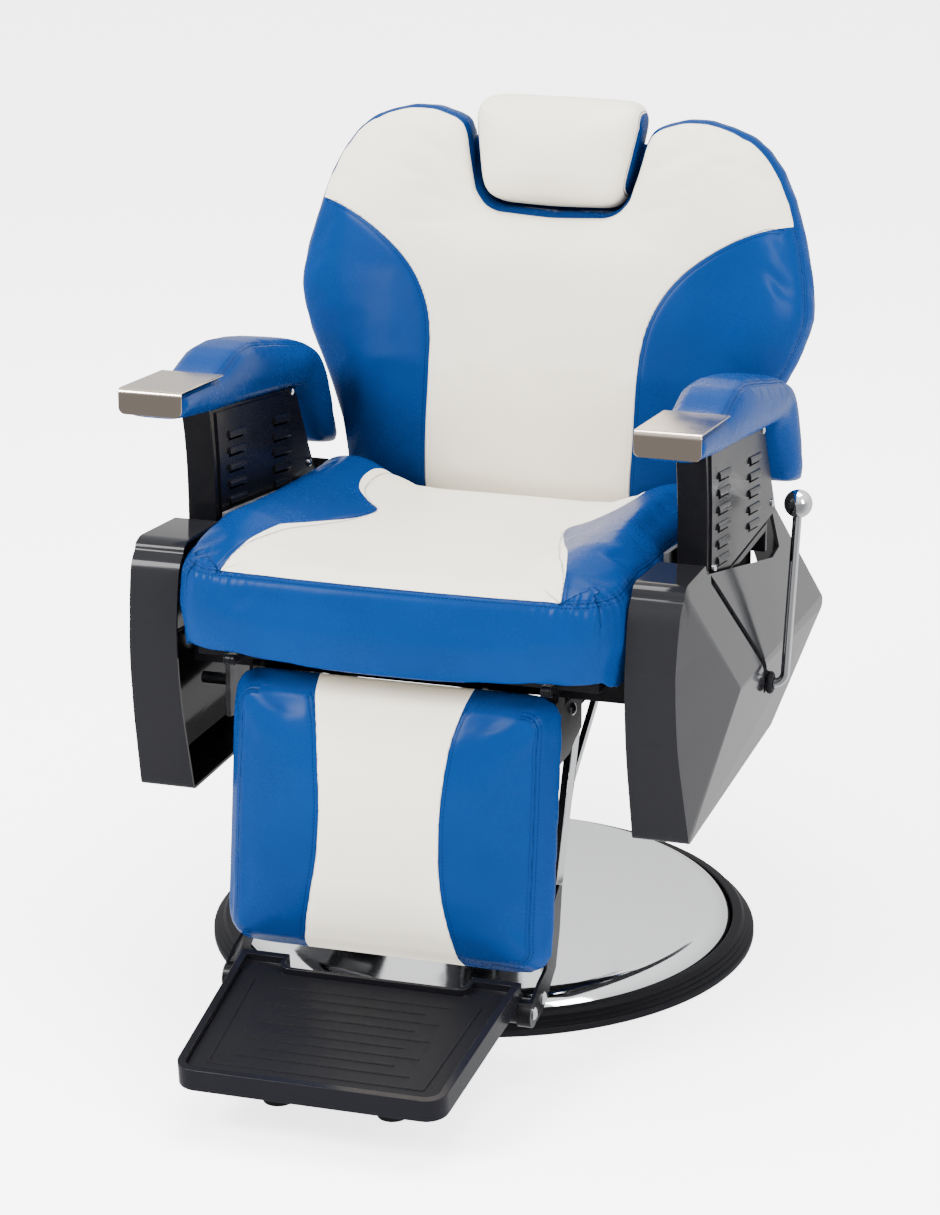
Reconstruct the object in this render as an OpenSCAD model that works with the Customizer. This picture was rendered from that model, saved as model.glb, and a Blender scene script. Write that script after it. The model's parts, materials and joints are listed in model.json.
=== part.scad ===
// Reclining barber chair on a round hydraulic pedestal, in millimetres.
// The origin is the centre of the pedestal on the floor, +Z is up and the seat faces -Y.

/* [Pedestal] */
// Outer radius of the rubber skirt on the floor
base_r = 330; // [300:5:360]
// Height of the rubber skirt
skirt_h = 24; // [20:1:30]
// Radial width of the rubber skirt
skirt_w = 26; // [22:1:34]
// Thickness of the steel floor plate
floor_plate_t = 8; // [6:1:12]
// Height of the chromed dish at its centre
dish_h = 52; // [46:1:70]
// Wall of the chromed dish
dish_wall = 2.5; // [2:0.5:4]
// Outer radius of the pump cylinder
pump_r = 44; // [38:1:52]
// Height of the top of the pump cylinder
pump_top = 236; // [220:2:250]
// Radius of the ram
ram_r = 19; // [16:0.5:24]
// Travel of the ram
ram_travel = 150; // [100:5:160]

/* [Seat] */
// Height of the underside of the seat cushion above the pedestal centre
seat_base_z = 421; // [415:1:440]
// Rearward pitch of the seat, in degrees
seat_tilt = 5; // [3:0.5:6]
// Half width of the seat cushion
seat_half_w = 256; // [246:1:257]
// Length of the seat cushion in front of the pedestal centre
seat_front = 387; // [375:1:395]
// Length of the seat cushion behind the pedestal centre
seat_rear = 160; // [150:1:163]
// Thickness of the seat cushion along its middle
seat_t = 99; // [90:1:106]
// Rise of the side bolsters above the middle of the seat
bolster_h = 36; // [20:1:42]

/* [Backrest] */
// Rearward lean of the backrest at rest, in degrees
back_lean = 14; // [12:0.5:16]
// Largest half width of the backrest cushion
back_half_w = 324; // [310:1:334]
// Length of the backrest cushion along its lean, to the top of its shoulders
back_len = 516; // [490:1:530]
// Thickness of the backrest cushion at its seam
back_t = 76; // [66:1:80]
// Depth of the headrest notch in the top of the backrest
notch_depth = 121; // [110:1:130]
// Half width of the headrest notch at its mouth
notch_half_w = 108; // [104:1:114]
// Furthest recline of the backrest, in degrees
recline_max = 45; // [30:1:45]

/* [Headrest] */
// Half width of the headrest cushion
headrest_half_w = 98; // [90:1:99]
// Height of the headrest cushion along the backrest
headrest_len = 129; // [116:1:134]
// Travel of the headrest post
headrest_travel = 110; // [80:5:120]

/* [Arms] */
// Distance from the middle of the chair to the inner face of an armrest pad
arm_inner = 258; // [258:1:262]
// Width of an armrest pad
arm_w = 82; // [74:1:84]
// Height of the top of the armrest pad at its front
arm_top_z = 731; // [724:1:740]
// Distance from the pedestal centre to the front of the armrest pad
arm_front = 302; // [290:1:310]
// Length of the polished cap on top of the armrest pad
cap_len = 132; // [120:1:140]

/* [Side covers] */
// Distance from the middle of the chair to the inner edge of a side cover
cover_inner = 262; // [261:0.5:264]
// Wall of a side cover
cover_wall = 3.5; // [3:0.5:4]
// Distance from the middle of the chair to the peak of a side cover
cover_peak_x = 347; // [342:1:352]
// Width of the slanted slot in a side cover
slot_w = 11; // [10:0.5:12]

/* [Leg rest] */
// Forward lean of the leg rest at rest, in degrees from straight down
leg_lean = 7.3; // [6:0.1:9]
// Half width of the calf pad
calf_half_w = 186; // [178:1:187]
// Height of the calf pad along its lean
calf_len = 316; // [300:1:318]
// Thickness of the calf pad at its seam
calf_t = 44; // [38:1:46]
// Half width of the footplate at its front edge
plate_front_half_w = 153; // [140:1:160]
// Half width of the footplate at its hinge
plate_rear_half_w = 165; // [160:1:165]
// Length of the footplate
plate_len = 256; // [240:1:262]
// Height of the rim of the footplate
plate_rim_h = 26; // [22:1:30]

/* [Hidden] */
$fn = 48;

// Overrun of a cut past the face that it opens
over = 1;
// Gap between pieces that move on each other
run_gap = 0.3;
// Radial clearance of a shaft in its bush
fit_gap = 0.05;
// Bore, shank and head of the screws, as radii and heights
screw_r = 3;
screw_head_r = 6;
screw_head_h = 3.5;
bolt_r = 5;
bolt_head_r = 9;
bolt_head_h = 7;

// Points along an arc
function arc(c, r, a0, a1, n = 6) =
    [for (i = [0:n]) let (a = a0 + (a1 - a0) * i / n) [c[0] + r * cos(a), c[1] + r * sin(a)]];
// A smooth curve through control points, used as a table for lookup
function spline_at(p0, p1, p2, p3, t) =
    0.5 * (2 * p1 + (p2 - p0) * t + (2 * p0 - 5 * p1 + 4 * p2 - p3) * t * t
    + (3 * p1 - p0 - 3 * p2 + p3) * t * t * t);
function smooth_table(p, n = 5) =
    let (m = len(p) - 1)
    [for (i = [0:m - 1]) for (k = [0:(i == m - 1 ? n : n - 1)])
        spline_at(p[max(i - 1, 0)], p[i], p[i + 1], p[min(i + 2, m)], k / n)];
// Distance from a point to a closed outline
function segment_gap(p, a, b) =
    let (d = b - a, t = max(0, min(1, ((p - a) * d) / max(d * d, 0.0001)))) norm(p - a - d * t);
function outline_gap(p, loop) =
    min([for (i = [0:len(loop) - 1]) segment_gap(p, loop[i], loop[(i + 1) % len(loop)])]);
// A step from 0 to 1 with level ends
function ease(t) = let (s = max(0, min(1, t))) s * s * (3 - 2 * s);
// A quarter round: 0 at the outline and 1 at one radius inside it
function quarter(d, r) = let (s = 1 - max(0, min(1, d / r))) sqrt(1 - s * s);

// Upholstery over a board: columns across u run from low(u) to high(u) along v and rise by rise(u, v, gap).
// The flat back lies in the plane w = 0, the boxing bulges by side_bulge between it and the seam,
// and spread(v) widens or narrows the whole piece along v.
module upholstery(columns, row_shares, low, high, rise, side_bulge, tuck, spread = function (v) 1) {
    n = len(columns) - 1;
    m = len(row_shares) - 1;
    edge = concat(
        [for (c = columns) [c * spread(low(c)), low(c)]],
        [for (i = [n:-1:0]) let (c = columns[i]) [c * spread(high(c)), high(c)]]);
    face = [for (i = [0:n]) for (j = [0:m])
        let (c = columns[i], v = low(c) + (high(c) - low(c)) * row_shares[j], u = c * spread(v))
        [u, v, rise(u, v, (i == 0 || i == n || j == 0 || j == m) ? 0 : outline_gap([u, v], edge))]];
    at = function (i, j) i * (m + 1) + j;
    rim = concat(
        [for (i = [0:n]) at(i, 0)], [for (j = [1:m]) at(n, j)],
        [for (i = [n - 1:-1:0]) at(i, m)], [for (j = [m - 1:-1:1]) at(0, j)]);
    r = len(rim);
    across = function (k) let (a = face[rim[(k + r - 1) % r]], b = face[rim[(k + 1) % r]],
        d = [b[0] - a[0], b[1] - a[1]]) [d[1], -d[0]] / max(norm(d), 0.0001);
    band = [for (k = [0:r - 1]) let (p = face[rim[k]], o = across(k) * side_bulge)
        [p[0] + o[0], p[1] + o[1], p[2] / 2]];
    hem = [for (k = [0:r - 1]) let (p = face[rim[k]], o = across(k) * -tuck) [p[0] + o[0], p[1] + o[1], 0]];
    f = len(face);
    top_faces = [for (i = [0:n - 1]) for (j = [0:m - 1]) each
        [[at(i, j), at(i, j + 1), at(i + 1, j + 1)], [at(i, j), at(i + 1, j + 1), at(i + 1, j)]]];
    band_faces = [for (k = [0:r - 1]) let (q = (k + 1) % r) each
        [[rim[k], rim[q], f + q], [rim[k], f + q, f + k]]];
    hem_faces = [for (k = [0:r - 1]) let (q = (k + 1) % r) each
        [[f + k, f + q, f + r + q], [f + k, f + r + q, f + r + k]]];
    back_faces = [for (i = [0:n - 1]) let (
            a = f + r + i, b = f + r + i + 1,
            c = f + r + n + m + (n - i - 1), d = f + r + ((i == 0) ? n + m + n : n + m + (n - i)))
        each [[a, b, c], [a, c, d]]];
    left_fan = [for (k = [n + m + n:r - 2]) [f + r, f + r + k, f + r + k + 1]];
    right_fan = [for (k = [n:n + m - 2]) [f + r + k, f + r + k + 1, f + r + n + m]];
    polyhedron(concat(face, band, hem),
        concat(top_faces, band_faces, hem_faces, back_faces, left_fan, right_fan), convexity = 6);
}

module mirrored() {
    children();
    mirror([1, 0, 0]) children();
}

// A hexagon head on a shank along +X from the face at the origin, the head on the outside
module bolt_x(r, head_r, head_h, shank) {
    rotate([0, 90, 0]) {
        cylinder(r = head_r, h = head_h, $fn = 6);
        translate([0, 0, -shank]) cylinder(r = r, h = shank + head_h / 2);
    }
}

// A domed screw along +X
module screw_x(r, head_r, head_h, shank) {
    rotate([0, 90, 0]) {
        intersection() {
            cylinder(r = head_r, h = head_h);
            translate([0, 0, head_h - head_r * 1.4]) sphere(r = head_r * 1.4, $fn = 24);
        }
        if (shank > 0) translate([0, 0, -shank]) cylinder(r = r, h = shank);
    }
}

module plate_yz(x, t) {
    translate([x, 0, 0]) rotate([90, 0, 90]) linear_extrude(t) children();
}

// Pedestal sizes
dish_edge_r = base_r - skirt_w;
shoulder_w = 30;
shoulder_z = 38;
sleeve_gap = 6;
sleeve_wall = 3;
sleeve_top = pump_top - 4;
sleeve_r = pump_r + sleeve_gap + sleeve_wall;
plate_edge_r = dish_edge_r - 8;
bush_h = 22;
bush_wall = 6;
groove_r = 1.6;
pump_flange_r = 78;
pump_flange_t = 10;
pump_bolt_circle = 64;
ram_foot_z = 40;

// Floor standing ring of moulded rubber with concentric grooves
module base_skirt() {
    color([0.09, 0.09, 0.1]) difference() {
        rotate_extrude($fn = 120) polygon([
            [plate_edge_r, 0], [base_r - groove_r, 0], [base_r, groove_r], [base_r, skirt_h * 0.3],
            [base_r - skirt_w * 0.35, skirt_h * 0.8], [base_r - skirt_w * 0.6, skirt_h],
            [dish_edge_r, skirt_h], [dish_edge_r, floor_plate_t], [plate_edge_r, floor_plate_t]]);
        for (share = [0.2, 0.36])
            rotate_extrude($fn = 96)
                translate([base_r - skirt_w * share * 0.9, skirt_h * (0.3 + share * 1.43)])
                    circle(r = groove_r, $fn = 16);
    }
}

// Steel plate that carries the pump
module floor_plate() {
    color([0.2, 0.2, 0.22]) difference() {
        cylinder(r = plate_edge_r, h = floor_plate_t, $fn = 120);
        for (a = [0:60:300]) rotate(a) translate([plate_edge_r * 0.6, 0, -over])
            cylinder(r = plate_edge_r * 0.13, h = floor_plate_t + 2 * over);
    }
}

// Spun dish with a rolled shoulder
module base_dish() {
    shoulder_r = dish_edge_r - shoulder_w;
    neck_r = sleeve_r + run_gap;
    color([0.85, 0.86, 0.88]) rotate_extrude($fn = 120) difference() {
        polygon(concat([[neck_r, floor_plate_t]], [[dish_edge_r, floor_plate_t]],
            [for (i = [0:8]) let (a = i * 90 / 8)
                [shoulder_r + shoulder_w * cos(a), floor_plate_t + (shoulder_z - floor_plate_t) * sin(a)]],
            [[neck_r, dish_h]]));
        polygon(concat([[neck_r - over, floor_plate_t - over], [dish_edge_r - dish_wall, floor_plate_t - over]],
            [for (i = [0:8]) let (a = i * 90 / 8)
                [shoulder_r + (shoulder_w - dish_wall) * cos(a),
                floor_plate_t + (shoulder_z - floor_plate_t - dish_wall) * sin(a)]],
            [[neck_r - over, dish_h - dish_wall]]));
    }
}

module pump_cylinder() {
    color([0.25, 0.25, 0.27]) difference() {
        union() {
            translate([0, 0, floor_plate_t]) cylinder(r = pump_flange_r, h = pump_flange_t);
            translate([0, 0, floor_plate_t]) cylinder(r = pump_r, h = pump_top - floor_plate_t);
        }
        translate([0, 0, ram_foot_z - run_gap]) cylinder(r = ram_r + run_gap, h = pump_top);
        translate([0, 0, pump_top - bush_h]) cylinder(r = ram_r + bush_wall, h = bush_h + over);
        for (a = [45:90:315]) rotate(a) translate([pump_bolt_circle, 0, floor_plate_t - over])
            cylinder(r = bolt_r + run_gap, h = pump_flange_t + 2 * over);
    }
}

// Foot pump lever, behind the seat and to the left, on a pin between two ears of the sleeve
pedal_angle = 124;
pedal_z = 76;
pedal_reach = 352;
pedal_pivot_r = 67;
pedal_pin_r = 4.5;
pedal_eye_r = 9;
pedal_ear_t = 5;
pedal_rod_r = 8;
pedal_len = 74;
pedal_w = 40;
pedal_t = 12;
pedal_ear = 9;

module pedal_turn() {
    rotate(pedal_angle) translate([0, 0, pedal_z]) children();
}

// Along the pedal's pin, whose middle is the origin
module on_pedal_pin() {
    pedal_turn() translate([pedal_pivot_r, 0, 0]) rotate([90, 0, 0]) children();
}

// Chromed sleeve that hides the pump
module pump_sleeve() {
    color([0.82, 0.83, 0.85]) difference() {
        union() {
            translate([0, 0, floor_plate_t + pump_flange_t + bolt_head_h + run_gap])
                cylinder(r = sleeve_r, h = sleeve_top - floor_plate_t - pump_flange_t - bolt_head_h - run_gap);
            translate([0, 0, dish_h]) cylinder(r1 = sleeve_r + sleeve_gap, r2 = sleeve_r, h = sleeve_gap);
            on_pedal_pin() for (s = [-1, 1]) translate([0, 0, s * (pedal_rod_r + run_gap + pedal_ear_t / 2)]) {
                cylinder(r = pedal_eye_r, h = pedal_ear_t, center = true);
                translate([sleeve_r - pedal_pivot_r - sleeve_wall, -pedal_eye_r, -pedal_ear_t / 2])
                    cube([pedal_pivot_r - sleeve_r + sleeve_wall, 2 * pedal_eye_r, pedal_ear_t]);
            }
        }
        on_pedal_pin() cylinder(r = pedal_pin_r + fit_gap, h = 4 * pedal_rod_r + 4 * pedal_ear_t, center = true);
        translate([0, 0, floor_plate_t]) cylinder(r = sleeve_r - sleeve_wall, h = sleeve_top - floor_plate_t - sleeve_wall);
        translate([0, 0, floor_plate_t]) cylinder(r = pump_r, h = sleeve_top);
    }
}

module pump_bush() {
    color([0.7, 0.55, 0.3]) difference() {
        translate([0, 0, pump_top - bush_h]) cylinder(r = ram_r + bush_wall, h = bush_h + bush_wall / 2);
        translate([0, 0, pump_top - bush_h - over]) cylinder(r = ram_r + fit_gap, h = bush_h + bush_wall);
    }
}

module pump_bolts() {
    color([0.7, 0.7, 0.72]) for (a = [45:90:315]) rotate(a)
        translate([pump_bolt_circle, 0, floor_plate_t + pump_flange_t]) rotate([0, -90, 0])
            bolt_x(bolt_r, bolt_head_r, bolt_head_h, pump_flange_t);
}

module pump_pedal() {
    color([0.8, 0.81, 0.83]) {
        pedal_turn() {
            translate([pedal_pivot_r, 0, 0]) rotate([0, 90, 0])
                cylinder(r = pedal_rod_r, h = pedal_reach - pedal_t - pedal_pivot_r);
            translate([pedal_reach - pedal_t, -pedal_len / 2, -pedal_ear / 2]) cube([pedal_t, pedal_len, pedal_ear]);
        }
        on_pedal_pin() {
            cylinder(r = pedal_eye_r, h = 2 * pedal_rod_r, center = true);
            cylinder(r = pedal_pin_r, h = 2 * (pedal_rod_r + run_gap + pedal_ear_t) + 1, center = true);
        }
    }
}

module pedal_rubber() {
    color([0.08, 0.08, 0.09]) pedal_turn() difference() {
        translate([pedal_reach - pedal_w / 2, 0, -pedal_ear]) linear_extrude(2 * pedal_ear)
            square([pedal_w, pedal_len + pedal_t], center = true);
        translate([pedal_reach - pedal_t, -pedal_len / 2, -pedal_ear / 2]) cube([pedal_t, pedal_len, pedal_ear]);
        rotate([0, 90, 0]) cylinder(r = pedal_rod_r, h = pedal_reach - pedal_t);
        for (s = [-0.3, 0, 0.3]) translate([pedal_reach - pedal_w / 2, s * pedal_len, pedal_ear])
            cube([pedal_w * 0.8, groove_r * 2, groove_r * 2], center = true);
    }
}

// Swivel plate and its saddle under the pitched seat frame
swivel_z = 350;
swivel_plate_t = 8;
swivel_half = 86;
hub_r = 32;
hub_h = 34;
rail_w = 25;
board_t = 12;
rail_x = 78;
saddle_t = 6;

module seat_pitch() {
    translate([0, 0, seat_base_z]) rotate([-seat_tilt, 0, 0]) children();
}

module ram() {
    color([0.88, 0.88, 0.9])
        translate([0, 0, ram_foot_z]) cylinder(r = ram_r, h = swivel_z - run_gap - ram_foot_z);
}

module swivel_plate() {
    cheek_low = swivel_z + swivel_plate_t;
    cheek = function (y) seat_base_z - (board_t + rail_w) / cos(seat_tilt) - y * tan(seat_tilt);
    color([0.16, 0.16, 0.17]) difference() {
        union() {
            translate([-swivel_half, -swivel_half, swivel_z]) cube([2 * swivel_half, 2 * swivel_half, swivel_plate_t]);
            translate([0, 0, swivel_z - hub_h]) cylinder(r = hub_r, h = hub_h);
            for (x = [-rail_x - rail_w / 2, rail_x - rail_w / 2])
                plate_yz(x, rail_w) polygon([
                    [-swivel_half, cheek_low - over], [swivel_half, cheek_low - over],
                    [swivel_half, cheek(swivel_half)], [-swivel_half, cheek(-swivel_half)]]);
        }
        translate([0, 0, swivel_z - hub_h - over]) cylinder(r = ram_r + fit_gap, h = hub_h + over);
        for (sx = [-1, 1]) for (sy = [-1, 1])
            translate([sx * swivel_half * 0.55, sy * swivel_half * 0.75, swivel_z - over])
                cylinder(r = bolt_r + run_gap, h = swivel_plate_t + 2 * over);
    }
}

module swivel_bolts() {
    color([0.7, 0.7, 0.72]) for (sx = [-1, 1]) for (sy = [-1, 1])
        translate([sx * swivel_half * 0.55, sy * swivel_half * 0.75, swivel_z]) rotate([0, 90, 0])
            bolt_x(bolt_r, bolt_head_r, bolt_head_h, swivel_plate_t + bolt_head_h);
}

// Side frames stand just inside the covers and carry the arms, the back shaft and the leg shaft
frame_t = 6;
frame_inner = cover_inner;
recline_y = 215;
recline_z = 430;
shaft_r = 12;
bush_out_r = 17;
leg_plate_x = 178;
leg_plate_t = 4;
leg_y = -366;
leg_z = 446;
ear_x = leg_plate_x + leg_plate_t + run_gap;
ear_r = 6;
hinge_pin_r = 3.5;
hip_y = -252;
hip_z = 387;
rail_front = 300;
rail_rear = 150;
upright_y = -165;
frame_low_z = 300;
lever_y = 42;
lever_z = 336;
arm_under_z = 695.4;
arm_under_slope = 0.152;
support_low_z = 505;

module seat_frame() {
    rail_lz = -board_t - rail_w;
    color([0.12, 0.12, 0.13]) seat_pitch() {
        mirrored() translate([rail_x - rail_w / 2, -rail_front, rail_lz]) cube([rail_w, rail_front + rail_rear, rail_w]);
        for (y = [-rail_front + rail_w, rail_rear - 3.6 * rail_w])
            translate([-frame_inner, y, rail_lz]) cube([2 * frame_inner, rail_w, rail_w]);
    }
    color([0.12, 0.12, 0.13]) mirrored() difference() {
        plate_yz(ear_x, frame_t) {
            polygon([[leg_y, leg_z + ear_r], [leg_y, leg_z - ear_r], [-318, leg_z - ear_r], [-279, 416],
                [-262, 409], [-262, 431], [-318, 446]]);
            translate([leg_y, leg_z]) circle(r = ear_r);
        }
        translate([ear_x - over, leg_y, leg_z]) rotate([0, 90, 0]) cylinder(r = hinge_pin_r + fit_gap, h = frame_t + 2 * over);
    }
}

// Plywood board, slotted at its front for the hinges of the leg rest
board_slot_rear = 256;
board_slot_gap = 2;

module seat_board() {
    inset = 22;
    front = seat_front - 52;
    color([0.1, 0.1, 0.1]) seat_pitch() difference() {
        translate([-seat_half_w + inset, -front, -board_t])
            cube([2 * (seat_half_w - inset), front + seat_rear - inset / 2, board_t]);
        mirrored() translate([leg_plate_x - board_slot_gap, -front - over, -board_t - over])
            cube([ear_x + frame_t + board_slot_gap - leg_plate_x, front - board_slot_rear + over, board_t + 2 * over]);
    }
}

seat_corner_r = 62;
seat_bow = 12;
seat_edge_r = 15;
seat_rows = [0, 0.012, 0.035, 0.075, 0.14, 0.25, 0.38, 0.52, 0.66, 0.78, 0.88, 0.95, 0.985, 1];
seat_col_shares = [0, 0.12, 0.24, 0.36, 0.48, 0.6, 0.7, 0.78, 0.85, 0.91, 0.955, 0.985, 1];

function corner_drop(u, half, r) = let (x = abs(u) - (half - r)) x <= 0 ? 0 : r - sqrt(max(0, r * r - x * x));
function both_ways(shares, half) = concat(
    [for (i = [len(shares) - 1:-1:1]) -shares[i] * half], [for (s = shares) s * half]);

module seat_cushion() {
    front = function (u) -seat_front + seat_bow * pow(u / seat_half_w, 2) + corner_drop(u, seat_half_w, seat_corner_r);
    rear = function (u) seat_rear - corner_drop(u, seat_half_w, seat_corner_r * 0.4);
    bolster = function (u, v) bolster_h * ease((abs(u) - seat_half_w * 0.42) / (seat_half_w * 0.4))
        * ease((v + seat_front) / (seat_front * 0.42));
    crown = function (u, v) 6 * cos(80 * u / seat_half_w) * cos(75 * (v + seat_front / 3) / seat_front);
    rise = function (u, v, d) let (top = seat_t + bolster(u, v) + crown(u, v) * ease(d / 60))
        top - (seat_edge_r + bolster(u, v) * 0.55) * (1 - quarter(d, seat_edge_r + bolster(u, v) * 0.4));
    color([0.93, 0.91, 0.86]) seat_pitch()
        upholstery(both_ways(seat_col_shares, seat_half_w), seat_rows, front, rear, rise, 2, 8);
}

module side_frame(side) {
    outline = [
        [upright_y, frame_low_z], [upright_y + 60, frame_low_z - 8], [150, frame_low_z - 8],
        [recline_y + 34, 372], [recline_y + 34, recline_z + 16], [recline_y - 20, recline_z + 62],
        [130, 512], [-130, 548], [upright_y, 552]];
    color([0.35, 0.35, 0.37]) scale([side, 1, 1]) difference() {
        plate_yz(frame_inner, frame_t) polygon(outline);
        translate([frame_inner - over, recline_y, recline_z]) rotate([0, 90, 0])
            cylinder(r = bush_out_r, h = frame_t + 2 * over);
        translate([frame_inner - over, lever_y, lever_z]) rotate([0, 90, 0])
            cylinder(r = lever_bush_r, h = frame_t + 2 * over);
    }
}

module side_frame_left() { side_frame(-1); }
module side_frame_right() { side_frame(1); }

// Side cover: a moulded tray whose outer face is a shallow faceted peak.
// Its corners are [y, z] in the side view, and three of them set the planes of the facets.
cover_top_front = [-313, 552];
cover_nose_high = [-333, 468];
cover_nose_low = [-326, 380];
cover_foot = [-290, 258];
cover_heel = [152, 246];
cover_tail = [374, 332];
cover_top_rear = [193, 517];
cover_peak = [-134, 388];
cover_rim_x = 321;
cover_tail_x = 333;
cover_corner_r = 9;
peak_r = 2;

function plane_x(p, q, s, at) =
    let (n = cross(q - p, s - p)) p[0] - (n[1] * (at[0] - p[1]) + n[2] * (at[1] - p[2])) / n[0];
function with_x(x, p) = [x, p[0], p[1]];

module cover_hull(grow, shrink_x) {
    peak = with_x(cover_peak_x, cover_peak);
    top = with_x(cover_rim_x, cover_top_front);
    foot = with_x(cover_rim_x + 6, cover_foot);
    tail = with_x(cover_tail_x, cover_tail);
    corners = [
        top, with_x(plane_x(peak, top, foot, cover_nose_high), cover_nose_high),
        with_x(plane_x(peak, top, foot, cover_nose_low), cover_nose_low), foot,
        with_x(plane_x(peak, tail, foot, cover_heel), cover_heel), tail,
        with_x(plane_x(peak, top, tail, cover_top_rear), cover_top_rear)];
    middle = [(cover_nose_high[0] + cover_tail[0]) / 2, (cover_top_front[1] + cover_foot[1]) / 2];
    hull() {
        for (c = corners) let (aim = [c[1], c[2]] - middle, pull = cover_corner_r * aim / norm(aim))
            translate([cover_inner - (grow < 0 ? over : 0), c[1] - pull[0], c[2] - pull[1]]) rotate([0, 90, 0])
                cylinder(r = cover_corner_r + grow, h = c[0] - shrink_x - cover_inner + (grow < 0 ? over : 0), $fn = 20);
        translate([cover_inner, cover_peak[0], cover_peak[1]]) rotate([0, 90, 0])
            cylinder(r = peak_r, h = cover_peak_x - shrink_x - cover_inner, $fn = 12);
    }
}

recess_front_y = -190;
recess_rear_y = 188;
recess_depth = 58;

module side_cover(side) {
    slot_top = [-178, 530];
    color([0.1, 0.1, 0.11]) scale([side, 1, 1]) difference() {
        cover_hull(0, 0);
        cover_hull(-cover_wall, cover_wall);
        translate([cover_inner - over, recess_front_y, cover_top_rear[1] - recess_depth])
            cube([arm_outer_x + recess_gap - cover_inner + over, recess_rear_y - recess_front_y, 3 * recess_depth]);
        translate([cover_inner - over, lever_y, lever_z]) rotate([0, 90, 0])
            cylinder(r = (grommet_r + lever_rod_r) / 2 + run_gap + grommet_tube_r + fit_gap, h = cover_peak_x - cover_inner + 2 * over);
        plate_yz(cover_rim_x - 3 * cover_wall, cover_peak_x) {
            slot_run = slot_top - [lever_y, lever_z];
            translate([lever_y, lever_z]) rotate(atan2(slot_run[1], slot_run[0]))
                translate([0, -slot_w / 2]) square([norm(slot_run), slot_w]);
        }
    }
}

module side_cover_left() { side_cover(-1); }
module side_cover_right() { side_cover(1); }

post_r = 7;
post_places = [[-120, 330], [120, 300], [-120, 440]];

module cover_posts() {
    color([0.3, 0.3, 0.32]) mirrored() for (p = post_places)
        translate([frame_inner + frame_t, p[0], p[1]]) rotate([0, 90, 0])
            cylinder(r = post_r, h = cover_rim_x - 2 * cover_wall - frame_inner - frame_t);
}

// Arm supports: a pressed box with a hollow curved front and a web, closed by louvred plates
arm_inner_x = 274;
arm_outer_x = 314;
louvre_t = 2.5;
recess_gap = 5;
support_t = 4;
support_rear_low = 182;
support_rear_high = 112;

function under_z(y) = arm_under_z - arm_under_slope * (y + arm_front);
function support_outline(inset) = concat(
    [for (i = [0:6]) let (t = i / 6)
        [-158 - 20 * pow(t, 3) - 4 * (1 - t) + inset, support_low_z + inset
        + t * (under_z(-178) - support_low_z - 2 * inset)]],
    [[support_rear_high - inset, under_z(support_rear_high) - inset],
    [support_rear_low - inset, support_low_z + inset]]);

module arm_support(side) {
    core_x = arm_inner_x + louvre_t;
    core_w = arm_outer_x - arm_inner_x - 2 * louvre_t;
    web = support_t;
    color([0.07, 0.07, 0.08]) scale([side, 1, 1]) difference() {
        plate_yz(core_x, core_w) polygon(support_outline(0));
        plate_yz(core_x - over, (core_w - web) / 2 + over) polygon(support_outline(5 * support_t));
        plate_yz(core_x + (core_w + web) / 2, (core_w - web) / 2 + over) polygon(support_outline(5 * support_t));
    }
}

module arm_support_left() { arm_support(-1); }
module arm_support_right() { arm_support(1); }

// Foot of the arm support: a bar along the side frame with three bolts
clamp_h = 34;

clamp_rear_y = 130;
clamp_bolts_at = [-110, -10, 90];

module arm_clamps() {
    clamp_x = frame_inner + frame_t;
    color([0.1, 0.1, 0.11]) mirrored() {
        difference() {
            plate_yz(clamp_x, arm_outer_x - clamp_x)
                polygon([[upright_y, support_low_z - clamp_h], [clamp_rear_y, support_low_z - clamp_h],
                    [clamp_rear_y, support_low_z], [upright_y, support_low_z]]);
            plate_yz(clamp_x + 3 * support_t, arm_outer_x)
                polygon([[upright_y + 2 * support_t, support_low_z - clamp_h - over],
                    [clamp_rear_y - 2 * support_t, support_low_z - clamp_h - over],
                    [clamp_rear_y - 2 * support_t, support_low_z - 2 * support_t],
                    [upright_y + 2 * support_t, support_low_z - 2 * support_t]]);
        }
        for (y = clamp_bolts_at) translate([clamp_x + 3 * support_t, y, support_low_z - clamp_h * 0.6])
            bolt_x(bolt_r, bolt_head_r, bolt_head_h, support_t);
    }
}

louvre_len = 54;
louvre_h = 7;
louvre_proud = 3;
louvre_rows = [6, 5];
louvre_pitch = 20;
louvre_screws_at = [[-140, 530], [94, 630], [152, 524]];
louvre_columns_y = [-98, 54];
louvre_columns_z = [628, 618];
louvre_tilt = 8.6;

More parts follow.
